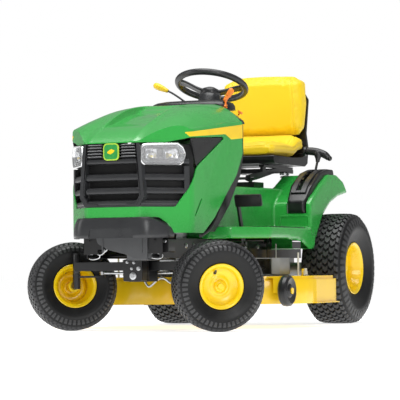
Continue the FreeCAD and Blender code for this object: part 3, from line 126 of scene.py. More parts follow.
GREEN = (0.022, 0.36, 0.048)
LOOKS = {
    "green_paint": look("green_gloss", GREEN, 0.28, coat=0.55, vary=0.05, patch=0.3, grain=0.04, size=0.003),
    "badge_green": look("badge_enamel", (0.02, 0.30, 0.05), 0.25, coat=0.9, vary=0.08, patch=0.02),
    "yellow_paint": look("yellow_gloss", srgb(243, 200, 8), 0.32, coat=0.4, vary=0.05, patch=0.2, grain=0.05,
                         size=0.003),
    "yellow_rim": look("yellow_enamel", srgb(247, 208, 8), 0.3, coat=0.4, vary=0.06, patch=0.05, grain=0.05,
                       size=0.003),
    "yellow_plastic": look("yellow_grip", srgb(245, 205, 30), 0.45, vary=0.06, grain=0.12),
    "orange_plastic": look("orange_grip", srgb(243, 130, 30), 0.4, vary=0.08, grain=0.12),
    "seat_vinyl": look("yellow_vinyl", srgb(240, 204, 4), 0.5, vary=0.04, patch=0.25, grain=0.16, size=0.0022,
                       texture="voronoi", sheen=0.1),
    "frame_black": look("frame_satin", (0.006, 0.006, 0.0065), 0.36, coat=0.2, vary=0.25, grain=0.1,
                        size=0.002),
    "frame_grey": look("plate_satin", (0.07, 0.072, 0.075), 0.5, vary=0.12, grain=0.12, size=0.0015),
    "grey_plastic": look("moulded_grey", (0.026, 0.027, 0.029), 0.32, vary=0.1, grain=0.22, size=0.0012,
                         spread=0.1),
    # painted shade: near-black rough finish for the sheet behind the grille bars, standing in for the shade
    # inside the nose
    "deep_black": look("shadow_black", (0.0022, 0.0022, 0.0024), 0.8, vary=0.2, grain=0.1),
    "black_plastic": look("moulded_black", (0.0075, 0.0078, 0.0085), 0.3, vary=0.15, grain=0.2, size=0.001),
    "grip_black": look("grip_rubbery", (0.02, 0.0205, 0.022), 0.34, vary=0.15, grain=0.2, size=0.0014),
    "tyre": look("tyre_rubber", (0.0055, 0.0057, 0.006), 0.42, vary=0.3, patch=0.03, grain=0.3, size=0.0018,
                 gloss=0.32),
    # painted highlight: the tread blocks are the same rubber as the carcass, given a lighter colour for the
    # light on the lugs
    "tread": look("tread_rubber", (0.036, 0.0365, 0.038), 0.46, vary=0.25, patch=0.03, grain=0.25,
                  size=0.0018),
    "belt_rubber": look("belt_rubber", (0.02, 0.02, 0.02), 0.75, vary=0.2, grain=0.3),
    "wheel_black": look("wheel_nylon", (0.013, 0.013, 0.014), 0.32, vary=0.15, grain=0.12),
    "steel": look("zinc_steel", (0.58, 0.59, 0.6), 0.3, metal=1.0, vary=0.12, patch=0.02, grain=0.1,
                  size=0.0006),
    "blade_steel": look("blade_steel", (0.2, 0.2, 0.21), 0.45, metal=0.9, vary=0.2, patch=0.03, grain=0.2),
    "cover_steel": look("cover_grey", (0.27, 0.28, 0.29), 0.38, metal=0.5, vary=0.12, grain=0.15),
    "cast_alloy": look("cast_alloy", (0.33, 0.34, 0.35), 0.5, metal=0.85, vary=0.12, grain=0.4, size=0.0015),
    "exhaust_steel": look("exhaust_steel", (0.3, 0.28, 0.26), 0.5, metal=0.9, vary=0.25, patch=0.03,
                          grain=0.25),
    "tank_plastic": look("tank_plastic", (0.6, 0.6, 0.56), 0.5, vary=0.06, grain=0.2),
    "chrome_trim": look("lamp_chrome", (0.78, 0.79, 0.8), 0.16, metal=0.9, vary=0.05, patch=0.03),
    "clear_lens": look("lamp_lens", (0.96, 0.97, 0.98), 0.04, coat=0.2, vary=0.01, spread=0.02, alpha=0.16),
}


# ---- mesh tools, all in chassis millimetres ---------------------------------------------------
def grid_mesh(rings, close_rings=False, close_cols=False, caps=False):
    """A mesh from rows of points: quads between neighbouring rows, wrapped where asked."""
    bm = bmesh.new()
    rows = [[bm.verts.new(p) for p in ring] for ring in rings]
    n, m = len(rows), len(rows[0])
    for i in range(n if close_rings else n - 1):
        for j in range(m if close_cols else m - 1):
            bm.faces.new((rows[i][j], rows[(i + 1) % n][j], rows[(i + 1) % n][(j + 1) % m],
                          rows[i][(j + 1) % m]))
    if caps:
        bm.faces.new(rows[0])
        bm.faces.new(reversed(rows[-1]))
    return bm


def revolved(points, steps=96):
    """A closed profile of (x, r) points turned about X."""
    rings = []
    for i in range(steps):
        a = math.tau * i / steps
        rings.append([(x, r * math.cos(a), r * math.sin(a)) for x, r in points])
    return grid_mesh(rings, close_rings=True, close_cols=True)


def rounded(points, radius=0.0, steps=6):
    """Polygon (a, b[, r]) with its corners rounded; returns (a, b) points."""
    out = []
    for i, point in enumerate(points):
        here = Vector(point[:2])
        r = point[2] if len(point) > 2 else radius
        back, fore = Vector(points[i - 1][:2]) - here, Vector(points[(i + 1) % len(points)][:2]) - here
        half = back.angle(fore) / 2.0
        reach = min(r / math.tan(half), min(back.length, fore.length) * 0.49) if r > 0 else 0.0
        if reach <= 0 or half > 1.55:
            out.append(tuple(here))
            continue
        r = reach * math.tan(half)
        start, end = here + back.normalized() * reach, here + fore.normalized() * reach
        centre = here + (back.normalized() + fore.normalized()).normalized() * (r / math.sin(half))
        a0 = math.atan2(*(start - centre).yx)
        sweep = (math.atan2(*(end - centre).yx) - a0 + math.pi) % math.tau - math.pi
        for k in range(steps + 1):
            a = a0 + sweep * k / steps
            out.append((centre.x + r * math.cos(a), centre.y + r * math.sin(a)))
    return out


def prism(plane, points, low, high):
    """Polygon extruded along x, y or z; x holds (y, z), y holds (x, z), z holds (x, y)."""
    def place(p, t):
        return {"x": (t, p[0], p[1]), "y": (p[0], t, p[1]), "z": (p[0], p[1], t)}[plane]
    return grid_mesh([[place(p, low) for p in points], [place(p, high) for p in points]],
                     close_cols=True, caps=True)


def rect(a0, a1, b0, b1):
    """Corners of a rectangle, in order."""
    return [(a0, b0), (a1, b0), (a1, b1), (a0, b1)]


def span(side, near, far):
    """Low and high X of a pair of distances from the middle plane, on the given side."""
    return sorted((side * near, side * far))


def symmetric(half):
    """A plan outline completed by its mirror image across X = 0."""
    return half + [(-p[0],) + tuple(p[1:]) for p in reversed(half)]


def merged(*parts):
    """All the parts as one mesh; the parts are used up."""
    mesh = bpy.data.meshes.new("tmp")
    out = bmesh.new()
    for part in parts:
        part.to_mesh(mesh)
        out.from_mesh(mesh)
        part.free()
    bpy.data.meshes.remove(mesh)
    return out


def temp(bm):
    """A linked scratch object that holds the mesh, for modifiers; the mesh is used up."""
    bmesh.ops.recalc_face_normals(bm, faces=bm.faces)
    mesh = bpy.data.meshes.new("tmp")
    bm.to_mesh(mesh)
    bm.free()
    obj = bpy.data.objects.new("tmp", mesh)
    SCENE.collection.objects.link(obj)
    return obj


def boolean(kind, base, *tools):
    """Base cut, joined or limited by the tools in turn, as a fresh mesh; all inputs are used up."""
    base, tools = temp(base), [temp(t) for t in tools]
    for tool in tools:
        mod = base.modifiers.new("b", "BOOLEAN")
        mod.operation, mod.solver, mod.object = kind, "EXACT", tool
    graph = bpy.context.evaluated_depsgraph_get()
    mesh = bpy.data.meshes.new_from_object(base.evaluated_get(graph))
    out = bmesh.new()
    out.from_mesh(mesh)
    for obj in [base] + tools:
        old = obj.data
        bpy.data.objects.remove(obj)
        bpy.data.meshes.remove(old)
    bpy.data.meshes.remove(mesh)
    bmesh.ops.remove_doubles(out, verts=out.verts, dist=0.02)
    bmesh.ops.dissolve_degenerate(out, edges=out.edges, dist=0.01)
    return out


def swept(path, section, closed=False, up=Vector((0, 0, 1))):
    """Section (across, up) carried along a plan path with its plane upright to it; ends capped."""
    rings = []
    n = len(path)
    for i, p in enumerate(path):
        p = Vector(p)
        before = Vector(path[i - 1]) if (i or closed) else None
        after = Vector(path[(i + 1) % n]) if (i < n - 1 or closed) else None
        a = (p - before).normalized() if before is not None else None
        b = (after - p).normalized() if after is not None else None
        run = ((a or b) + (b or a)).normalized()
        side = up.cross(run).normalized()
        scale = 1.0 / max(0.5, math.sqrt(max(0.0, (1 + a.dot(b)) / 2))) if a and b else 1.0
        rings.append([p + side * s[0] * scale + up * s[1] for s in section])
    return grid_mesh(rings, close_rings=closed, close_cols=True, caps=not closed)


def tube(points, radius, sides=12, smooth=0):
    """A round bar along 3-D points, with parallel-carried rings and end caps."""
    pts = [Vector(p) for p in points]
    for _ in range(smooth):
        fresh = [pts[0]]
        for p, q in zip(pts, pts[1:]):
            fresh += [p.lerp(q, 0.25), p.lerp(q, 0.75)]
        pts = fresh + [pts[-1]]
    rings, normal = [], None
    for i, p in enumerate(pts):
        run = (pts[min(i + 1, len(pts) - 1)] - pts[max(i - 1, 0)]).normalized()
        if normal is None:
            normal = run.orthogonal().normalized()
        normal = (normal - run * normal.dot(run)).normalized()
        other = run.cross(normal)
        r = radius[i] if isinstance(radius, (list, tuple)) else radius
        turns = [math.tau * k / sides for k in range(sides)]
        rings.append([p + (normal * math.cos(a) + other * math.sin(a)) * r for a in turns])
    return grid_mesh(rings, close_cols=True, caps=True)


def spun(points, base, axis, steps=32):
    """A profile of (r, h) points turned about an axis through base; ends on the axis are capped flat."""
    turn = Vector((0, 0, 1)).rotation_difference(Vector(axis)).to_matrix().to_4x4()
    turns = [math.tau * k / steps for k in range(steps)]
    rings = [[(max(r, 0.01) * math.cos(a), max(r, 0.01) * math.sin(a), h) for a in turns] for r, h in points]
    bm = grid_mesh(rings, close_cols=True, caps=True)
    bm.transform(Matrix.Translation(base) @ turn)
    return bm


def piece(name, bm, body, slot, smooth=38.0, bevel=0.0, segments=2, place=None, replaces=(), subdivide=0):
    """Turn a chassis-frame mesh into a finished piece that rides on a body."""
    if place is not None:
        bm.transform(place)
    bm.transform(TO_ROW)
    bmesh.ops.recalc_face_normals(bm, faces=bm.faces)
    mesh = bpy.data.meshes.new(name)
    bm.to_mesh(mesh)
    bm.free()
    obj = bpy.data.objects.new(name, mesh)
    SCENE.collection.objects.link(obj)
    mesh.materials.append(LOOKS[slot])
    mesh.shade_smooth()
    if bevel > 0:
        add_bevel(obj, bevel, segments, smooth)
    elif not subdivide:
        mesh.set_sharp_from_angle(angle=math.radians(smooth))
    if subdivide:
        obj.modifiers.new("rounding", "SUBSURF").levels = subdivide
        obj.modifiers["rounding"].render_levels = subdivide
    if body:
        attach(obj, body)
    if replaces:
        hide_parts(*replaces)
    return obj


def add_bevel(obj, width, segments, angle):
    """Eases the edges sharper than angle by width millimetres."""
    mod = obj.modifiers.new("edges", "BEVEL")
    mod.width, mod.segments = width / 1000.0, segments
    mod.limit_method, mod.angle_limit = "ANGLE", math.radians(angle)
    mod.use_clamp_overlap, mod.harden_normals = True, True


def front_wheel(side):
    """Places a wheel piece, drawn about X with its outer face at +X, on a front stub axle."""
    return (Matrix.Translation((side * KINGPIN_X, FRONT_AXLE_Y, 0))
            @ Matrix.Rotation(math.radians(STEER_REST), 4, "Z")
            @ Matrix.Translation((side * SCRUB, 0, FRONT_WHEEL_Z))
            @ Matrix.Rotation(math.radians(side * CAMBER), 4, "Y") @ Matrix.Scale(side, 4, (1, 0, 0)))


def rear_wheel(side):
    """Places a wheel piece, drawn about X with its outer face at +X, on a rear axle."""
    return Matrix.Translation((side * REAR_X, 0, REAR_TYRE_R)) @ Matrix.Scale(side, 4, (1, 0, 0))


def curve_at(rows, key):
    """Catmull-Rom interpolation through rows sorted by their first value; returns the other values."""
    i = max(0, min(len(rows) - 2, sum(1 for r in rows if r[0] <= key) - 1))
    p0, p1, p2, p3 = rows[max(i - 1, 0)], rows[i], rows[i + 1], rows[min(i + 2, len(rows) - 1)]
    t = (key - p1[0]) / (p2[0] - p1[0])
    out = []
    for k in range(1, len(p1)):
        m1 = (p2[k] - p0[k]) / (p2[0] - p0[0]) * (p2[0] - p1[0])
        m2 = (p3[k] - p1[k]) / (p3[0] - p1[0]) * (p2[0] - p1[0])
        t2, t3 = t * t, t * t * t
        out.append(p1[k] * (2 * t3 - 3 * t2 + 1) + m1 * (t3 - 2 * t2 + t) + p2[k] * (-2 * t3 + 3 * t2)
                   + m2 * (t3 - t2))
    return out


def ease(t):
    """Smooth step from 0 to 1, held outside that range."""
    t = max(0.0, min(1.0, t))
    return t * t * (3 - 2 * t)


# ---- CAD nodes that stay ------------------------------------------------------------------------
NODE_SLOT = {row["node"]: row["material_slot"] for row in frame["record"]["subparts"]}
for node, obj in frame["nodes"].items():
    obj.data.materials.clear()
    obj.data.materials.append(LOOKS[NODE_SLOT[node]])
EDGES = {"fender_deck": 5.0, "consoles": 5.0, "dash_panel": 3.0, "pedestal": 3.0, "seat_pan": 3.0,
         "front_plate": 2.0, "deck_shell": 2.0, "frame": 1.2, "discharge_chute": 2.0, "seat_frame": 1.5,
         "brake_pedal": 2.0, "forward_pedal": 2.0, "reverse_pedal": 2.0, "battery": 4.0,
         "spindle_covers": 1.5,
         "engine_block": 2.0, "engine_shroud": 3.0, "transaxle": 3.0, "lift_lever": 1.0, "seat_hinge": 1.5,
         "axle_beam": 2.5, "fuel_tank": 2.0, "throttle_lever": 1.0, "choke_knob": 1.5, "ignition_key": 0.8}
for node, width in EDGES.items():
    weld = frame["nodes"][node].modifiers.new("weld", "WELD")
    weld.merge_threshold = 0.00002
    add_bevel(frame["nodes"][node], width, 2, 32)


# ---- wheels ----------------------------------------------------------------------------------
def tyre_profile(radius, width, flange_r, rim_w, lug):
    """Outside of the carcass from the outer bead over the crown to the inner bead."""
    half, bead = width / 2.0 - 1.5, rim_w / 2.0 - 4.0
    side_r, crown = (radius + flange_r) / 2.0, radius - lug
    right = [(bead, flange_r - 8), (bead + 1, flange_r + 1), (bead + 5, flange_r + 5),
             (bead + 7, flange_r + 12),
             (half - 5, side_r - 16), (half - 1, side_r - 4), (half, side_r + 8), (half - 1.5, side_r + 20),
             (half - 5, crown - 20), (half - 12, crown - 9), (half - 22, crown - 3.4),
             (half * 0.5, crown - 0.8),
             (half * 0.22, crown)]
    dense = []
    knots = right + [(-x, r) for x, r in reversed(right)]
    rows = [(i,) + k for i, k in enumerate(knots)]
    steps = (len(rows) - 1) * 3
    for i in range(steps + 1):
        dense.append(tuple(curve_at(rows, i / 3.0)))
    return dense


def sidewall_rings(profile, flange_r, crown):
    """Fine raised rings moulded into the side walls."""
    out = []
    for x, r in profile:
        up = r - flange_r
        lift = 1.6 * math.exp(-((up - 13) / 2.2) ** 2) + 1.2 * math.exp(-((up - 24) / 1.6) ** 2)
        out.append((x + math.copysign(lift, x) if flange_r < r < crown - 12 else x, r))
    return out


def lug_strip(profile, lengths, stations, height, taper=1.2):
    """One tread block: stations are (distance along the profile from the crown, angle, half width)."""
    def at(u, angle, lift):
        i = max(0, min(len(lengths) - 2, sum(1 for s in lengths if s <= u) - 1))
        t = (u - lengths[i]) / (lengths[i + 1] - lengths[i])
        x = profile[i][0] + (profile[i + 1][0] - profile[i][0]) * t
        r = profile[i][1] + (profile[i + 1][1] - profile[i][1]) * t
        dx, dr = profile[i + 1][0] - profile[i][0], profile[i + 1][1] - profile[i][1]
        n = math.hypot(dx, dr)
        x, r = x - dr / n * -lift * -1.0, r + dx / n * -1.0 * lift
        return Vector((x, r * math.sin(angle), r * math.cos(angle)))
    rings = []
    for u, angle, half in stations:
        base = [at(u, angle - half, -1.5), at(u, angle - half * (1 - 0.12 * taper), height),
                at(u, angle + half * (1 - 0.12 * taper), height), at(u, angle + half, -1.5)]
        rings.append(base)
    return grid_mesh(rings, close_cols=True, caps=True)


def tyre(name, radius, width, seat_r, flange_r, rim_w, pitches, place, body, lug):
    profile = tyre_profile(radius, width, flange_r, rim_w, lug)
    lengths, total = [0.0], 0.0
    for a, b in zip(profile, profile[1:]):
        total += math.hypot(b[0] - a[0], b[1] - a[1])
        lengths.append(total)
    middle = total / 2.0
    shaped = sidewall_rings(profile, flange_r, radius - lug)
    inner = [(x * 0.93, r - 5 if r > flange_r + 6 else r) for x, r in reversed(profile)]
    inner = [(x, max(r, seat_r + 3)) for x, r in inner]
    outline = shaped + [(profile[-1][0], seat_r + 3)] + inner[1:-1] + [(profile[0][0], seat_r + 3)]
    parts = [revolved(outline, 120)]
    half = width / 2.0
    step = math.tau / pitches
    for i in range(pitches):
        for row in range(-2, 3):
            middle_angle = step * (i + 0.5 * (row % 2))
            u, w = middle + row * half * 0.262, half * 0.118
            parts.append(lug_strip(profile, lengths, [
                (u - w, middle_angle + step * 0.16, step * 0.33),
                (u, middle_angle - step * 0.16, step * 0.34),
                (u + w, middle_angle + step * 0.16, step * 0.33)], lug))
        for side in (-1, 1):
            start = step * (i + 0.5)
            parts.append(lug_strip(profile, lengths, [
                (middle + side * half * 0.665, start + step * 0.06, step * 0.33),
                (middle + side * half * 0.80, start - step * 0.12, step * 0.33),
                (middle + side * half * 0.94, start - step * 0.02, step * 0.32),
                (middle + side * half * 1.08, start + step * 0.02, step * 0.30),
                (middle + side * half * 1.26, start + step * 0.02, step * 0.24)], lug * 0.9))
    piece(name, parts[0], body, "tyre", smooth=34, place=place, replaces=(name.replace("_tread", ""),))
    # the blocks take the lighter tread colour, a painted highlight on the lugs
    piece(name.replace("_tread", "_blocks"), merged(*parts[1:]), body, "tread", smooth=34, place=place)


def rim(name, seat_r, flange_r, width, disc_x, hub_r, hub_x, place, body):
    """Pressed rim: rolled flanges, drop centre, dished disc with a raised ring, hub, bolt and valve stem."""
    half = width / 2.0
    top = [(-half - 3, flange_r - 3), (-half - 1, flange_r), (-half + 2, flange_r - 1),
           (-half + 4, seat_r + 6),
           (-half + 8, seat_r + 2), (-half + 26, seat_r + 1), (-half + 34, seat_r - 8),
           (half - 34, seat_r - 8),
           (half - 26, seat_r + 1), (half - 8, seat_r + 2), (half - 4, seat_r + 6), (half - 2, flange_r - 1),
           (half + 1, flange_r), (half + 3, flange_r - 3), (half + 1.5, flange_r - 6), (half - 1, seat_r + 4),
           (half - 8, seat_r - 1.5), (half - 27, seat_r - 2.5)]
    under = [(half - 36, seat_r - 11), (-half + 36, seat_r - 11), (-half + 27, seat_r - 2.5),
             (-half + 8, seat_r - 1.5), (-half + 1, seat_r + 4), (-half - 1.5, flange_r - 6)]
    barrel = revolved(top + under, 96)
    face = [(disc_x + 13, seat_r - 1), (disc_x + 8, seat_r - 6), (disc_x + 2, seat_r * 0.72),
            (disc_x, seat_r * 0.6),
            (disc_x + 3, seat_r * 0.52), (disc_x + 6, seat_r * 0.46), (disc_x + 5, seat_r * 0.38),
            (disc_x + 2, hub_r + 4), (disc_x + 3, hub_r + 1), (hub_x - 2, hub_r), (hub_x, hub_r - 2),
            (hub_x, 10.0), (hub_x - 70, 10.0), (hub_x - 70, hub_r), (disc_x - 4, hub_r)]
    back = [(disc_x - 3, seat_r * 0.4), (disc_x + 2, seat_r * 0.46), (disc_x - 1, seat_r * 0.53),
            (disc_x - 4, seat_r * 0.6), (disc_x - 2, seat_r * 0.74), (disc_x + 4, seat_r - 5),
            (disc_x + 9, seat_r - 1)]
    disc = revolved(face + back, 96)
    piece(name, merged(barrel, disc), body, "yellow_rim", smooth=50, place=place,
          replaces=(name.replace("_detail", ""),))
    cap = spun([(hub_r - 1, -3), (hub_r - 1, 1), (hub_r - 3, 4), (15, 6), (14, 12), (11.5, 14.5), (0, 15)],
               (hub_x, 0, 0), (1, 0, 0), 40)
    piece(name + "_cap", cap, body, "yellow_rim", smooth=40, place=place)
    a = math.radians(20)
    y, z = -math.sin(a) * seat_r * 0.74, math.cos(a) * seat_r * 0.74
    stem = spun([(7, 0), (7, 4), (4, 7), (3.6, 20), (4.4, 21), (4.4, 28), (3.6, 29), (0, 29)],
                (disc_x + 1, y, z), (0.9, -0.1, 0.3), 16)
    piece(name + "_valve", stem, body, "grip_black", smooth=40, place=place)


for side, word in ((1, "left"), (-1, "right")):
    tyre("front_tyre_%s_tread" % word, 185.5, 148.0, 76.0, 92.0, 112.0, 52, front_wheel(side),
         "front_wheel_" + word, 7.0)
    rim("front_rim_%s_detail" % word, 76.0, 92.0, 112.0, 22.0, 24.0, 34.0, front_wheel(side),
        "front_wheel_" + word)
    tyre("rear_tyre_%s_tread" % word, 249.5, 205.0, 102.0, 117.5, 152.0, 46, rear_wheel(side),
         "rear_wheel_" + word, 10.0)
    rim("rear_rim_%s_detail" % word, 102.0, 117.5, 152.0, 10.0, 30.0, 26.0, rear_wheel(side),
        "rear_wheel_" + word)


# ---- hood ---------------------------------------------------------------------------------------
# y, height at the middle, ridge half-spacing, ridge height, shoulder height
HOOD_STATIONS = [(-1560, 746, 98, 747, 740), (-1505, 785, 98, 786, 774), (-1450, 814, 99, 816, 798),
                 (-1370, 844, 101, 853, 819), (-1280, 873, 103, 888, 832), (-1180, 901, 104, 919, 844),
                 (-1060, 922, 104, 940, 858), (-940, 940, 104, 952, 872), (-790, 952, 104, 958, 885)]


def hood_section(y, skin):
    """Half outline at y, from the lower edge to the middle: side, shoulder, faceted flank, ridge, trough."""
    middle, ridge_x, ridge_z, shoulder = curve_at(HOOD_STATIONS, y)
    middle += (ridge_z - 1.5 - middle) * ease((y + 1040) / 70.0)
    w = HOOD_W + 2 - skin
    points = [(w, 300.0), (w, 560.0), (w, shoulder - 20 - skin)]
    for k in range(1, 5):
        a = math.radians(22.5 * k)
        points.append((w - 10 + 10 * math.cos(a), shoulder - 20 - skin + 20 * math.sin(a) * 0.9))
    start, end = Vector(points[-1]), Vector((ridge_x + 24, ridge_z - 3.4 - skin))
    fold = 0.12 + 0.76 * ease((y + 1440) / 640.0)
    swell = 5.0 + 11.0 * ease((y + 1540) / 260.0)
    for k in range(1, 16):
        t = k / 16.0
        lift = swell * 4 * t * (1 - t) + 4.5 * (t / fold if t < fold else (1 - t) / (1 - fold))
        p = start.lerp(end, t)
        points.append((p.x + lift * 0.2, p.y + lift))
    crisp = ease((y + 1460) / 130.0)
    for dx, dz in ((16, -1.8), (8, -0.5), (1, 0), (-3, -0.5 * crisp), (-6, -1.8 * crisp)):
        points.append((ridge_x + dx, ridge_z + dz - skin))
    sunk = 11.0 * ease((y + 1420) / 110.0) * (1 - ease((y + 1110) / 70.0))
    floor = min(middle, ridge_z - 0.4 - 1.8 * crisp) - sunk
    top = ridge_z - 1.8 * crisp
    for t, dx in ((0.3, -8), (0.8, -11), (0.97, -14), (1.0, -18)):
        points.append((ridge_x + dx, top - (top - floor - 0.6) * t - skin))
    points += [(ridge_x * 0.6, floor + 0.6 - skin), (ridge_x * 0.3, floor - skin)]
    return points


def hood_body(skin, grow=0.0):
    """The solid below the hood's top and inside its plan, its surface moved inwards by skin."""
    rings = []
    steps = 70
    for i in range(steps + 1):
        y = -1556.0 + (764.0 - skin * 2) * i / steps if skin <= 0 else -1556.0 + (810.0) * i / steps
        half = hood_section(min(y, -790.5), skin)
        full = half + [(-x, z) for x, z in reversed(half)]
        rings.append([(x, y, z) for x, z in full])
    body = grid_mesh(rings, close_cols=True, caps=True)
    plan = rounded(symmetric([(HOOD_W - skin, -700), (HOOD_W - skin, CHEEK_Y + skin * 0.4, 70),
                              (NOSE_X - skin * 0.5, NOSE_Y + skin, 46)]), steps=9)
    return boolean("INTERSECT", body, prism("z", plan, 290, 1050))


HOOD_REAR = [(-817, 1100), (-817, 742, 40), (-884, 649, 60), (-1002, 561, 60), (-1125, 464, 60),
             (-1240, 400, 40),
             (-1410, 400, 8), (-1430, 438, 20), (-1462, 463, 30), (-1600, 463), (-1600, 250), (-700, 250),
             (-700, 1100)]
HOOD_FRONT = [(-1600, 760), (-1440, 762, 30), (-1352, 784, 10), (-995, 805, 6), (-1299, 668, 60),
              (-1404, 504, 16),
              (-1600, 504)]


def hood():
    outer = hood_body(0.0)
    skin = boolean("DIFFERENCE", outer.copy(), hood_body(HOOD_SKIN))
    tools = [prism("x", rounded(HOOD_REAR), -400, 400), prism("x", rounded(HOOD_FRONT), -400, 400)]
    slot_line = rounded([(-1257, 543), (-1250, 537), (-1317, 466), (-1324, 472)], 2.5, 3)
    tools += [prism("x", slot_line, 255, 290), prism("x", slot_line, -290, -255)]
    skin = boolean("DIFFERENCE", skin, *tools)
    ears = []
    for s in (1, -1):
        ears.append(prism("x", rounded([(-1510, 475), (-1531, 476), (-1531, 504), (-1506, 490)], 2), s * 60,
                          s * 66))
        ears.append(tube([(s * 60, -1508, 482), (s * 66, -1508, 482)], 8, 20))
    piece("hood_shell", merged(skin, *ears), "hood_assembly", "green_paint", smooth=24, replaces=("hood",))
    # yellow flash along each side, laid on the surface
    flash = [(-1373, 805, 2), (-1352, 788, 4), (-1003, 815, 8), (-940, 796, 6), (-817, 807, 4),
             (-817, 865, 4)]
    film = boolean("DIFFERENCE", hood_body(-0.9), outer)
    for s, word in ((1, "left"), (-1, "right")):
        cut = prism("x", rounded(flash), *span(s, 205, 290))
        piece("hood_flash_" + word, boolean("INTERSECT", film.copy(), cut), "hood_assembly", "yellow_plastic",
              smooth=30)
    film.free()
    # the vent's slats inside the open triangle
    a, b, c = Vector((-1344, 779)), Vector((-1010, 799)), Vector((-1298, 674))
    slats = []
    for k in range(1, 9):
        t = k / 9.5
        p, q = a.lerp(c, t), b.lerp(c, t)
        if (q - p).length < 24:
            continue
        d = (q - p).normalized()
        p, q = p + d * 7, q - d * 12
        for s in (1, -1):
            slats.append(prism("x",
                               rounded([(p.x, p.y - 1.6), (q.x, q.y - 1.6), (q.x, q.y + 1.6),
                                        (p.x, p.y + 1.6)],
                                            1.4, 2), *span(s, 266.5, 269.5)))
    piece("vent_slats", merged(*slats), "hood_assembly", "black_plastic", smooth=30)


hood()


# ---- grille, lamps and badge --------------------------------------------------------------------
def nose_path(gap, x_end=262.0, radius=26.0):
    """Plan line that follows the nose, set back by gap, from the left cheek to the right one."""
    y0 = NOSE_Y + gap
    pts = [(x_end, -1354.0 + gap), (NOSE_X + 2, y0, radius), (-NOSE_X - 2, y0, radius),
           (-x_end, -1354.0 + gap)]
    line = rounded([(x_end, -1200.0)] + pts + [(-x_end, -1200.0)], steps=7)
    return [Vector((x, y, 0)) for x, y in line if y <= -1353.9 + gap]


def bar_section(depth, height, nose=7.0):
    """Half-round front, sloping lit top and flat back; across is forward."""
    return [(-depth, 0), (-nose, 0), (-2.0, 1.5), (0, height * 0.38), (-1.5, height * 0.62),
            (-nose, height * 0.9),
            (-depth * 0.6, height), (-depth, height)]


def grille():
    # painted shade: a near-black sheet behind the bars stands in for the shade inside the nose
    shade_sheet = swept(nose_path(40), rect(-3, 0, 505, 757))
    piece("grille_painted_shade", shade_sheet, "hood_assembly", "deep_black", smooth=30)
    parts = []
    for z, high in ((511, 22), (557, 27), (611, 28), (678, 23)):
        section = [(x, z + v) for x, v in bar_section(30, high)]
        parts.append(swept(nose_path(3), section))
    for s in (1, -1):                       # ends of the bars join an upright on each cheek
        parts.append(prism("z",
                           rounded([(s * 262, -1352), (s * 247, -1371), (s * 232, -1352), (s * 248, -1332)],
                                   3),
                           505, 668))
    for z in (703, 715, 727, 739, 750):
        parts.append(prism("x", rounded([(NOSE_Y + 5, z), (NOSE_Y + 5, z + 4.6), (NOSE_Y + 24, z + 6),
                                         (NOSE_Y + 24, z)], 1.6, 3), -112, 112))
    for s in (1, -1):
        post = rounded([(s * 106, 758), (s * 124, 758), (s * 143, 545, 10), (s * 120, 506), (s * 60, 506),
                        (s * 64, 518, 4), (s * 104, 518, 10), (s * 122, 548, 8)], 2)
        parts.append(prism("y", post, NOSE_Y + 0.5, NOSE_Y + 36))
        edge = rounded([(s * 105, 758), (s * 109, 758), (s * 125, 548, 8), (s * 106, 517, 8), (s * 66, 517),
                        (s * 66, 513), (s * 108, 513, 8), (s * 129, 547, 8)], 1)
        parts.append(prism("y", edge, NOSE_Y - 1.4, NOSE_Y + 2))
    lower = [(x, 503.5 + v) for x, v in ((-18, 0), (-2, 0), (0, 2), (0, 7), (-2, 9), (-18, 9))]
    parts.append(swept(nose_path(2), lower))
    piece("grille_bars", merged(*parts), "hood_assembly", "grey_plastic", bevel=0.9, segments=2, smooth=40,
          replaces=("grille",))
    trim = [prism("x",
                  rounded([(NOSE_Y + 3.4, z), (NOSE_Y + 3.4, z + 1.5), (NOSE_Y + 6, z + 1.5),
                           (NOSE_Y + 6, z)],
                               0.4, 2), s * 45 if s > 0 else -106, s * 106 if s > 0 else -45)
            for z in (707.5, 719.5, 731.5, 743.5, 754.5) for s in (1, -1)]
    piece("grille_trim", merged(*trim), "hood_assembly", "chrome_trim", smooth=40)
    # badge: an enamelled rounded square with a plain leaf
    def plate(half, radius, y0, y1, z=726.0):
        return prism("y", rounded(rect(-half, half, z - half, z + half), radius, 8),
                     y0, y1)
    piece("badge_rim", plate(34.5, 17, NOSE_Y - 1.5, NOSE_Y + 4.5), "hood_assembly", "badge_edge", bevel=1.2,
          replaces=("nose_badge",))
    piece("badge_field", plate(29.5, 13.5, NOSE_Y - 2.3, NOSE_Y + 1), "hood_assembly", "badge_green",
          bevel=0.6)
    leaf = []
    for sx in (1, -1):
        arc = [(-17 + 34 * t, 726 - 3 + sx * 9.5 * math.sin(math.pi * t) + 7 * t) for t in
               [k / 10.0 for k in range(11)]]
        leaf.append(arc)
    outline = leaf[0] + list(reversed(leaf[1][1:-1]))
    piece("badge_leaf", prism("y", outline, NOSE_Y - 2.9, NOSE_Y), "hood_assembly", "yellow_rim", bevel=0.3)


LAMP_A, LAMP_B = Vector((131.5, -1527.0, 0)), Vector((254.0, -1369.0, 0))


def lamp_frame(side, out=0.0):
    """Matrix from lamp face coordinates (along the cheek, up, outward) to the chassis frame."""
    along = (LAMP_B - LAMP_A).normalized()
    normal = Vector((along.y, -along.x, 0)).normalized()
    basis = Matrix((along, Vector((0, 0, 1)), normal)).transposed().to_4x4()
    return Matrix.Scale(side, 4, (1, 0, 0)) @ Matrix.Translation(LAMP_A + normal * out) @ basis


LAMP_OUTLINE = [(-4, 682, 14), (-4, 752, 14), (22, 757, 10), (166, 762, 12), (188, 746, 16), (200, 718, 12),
                (188, 682, 12), (172, 671, 12), (8, 671, 16)]


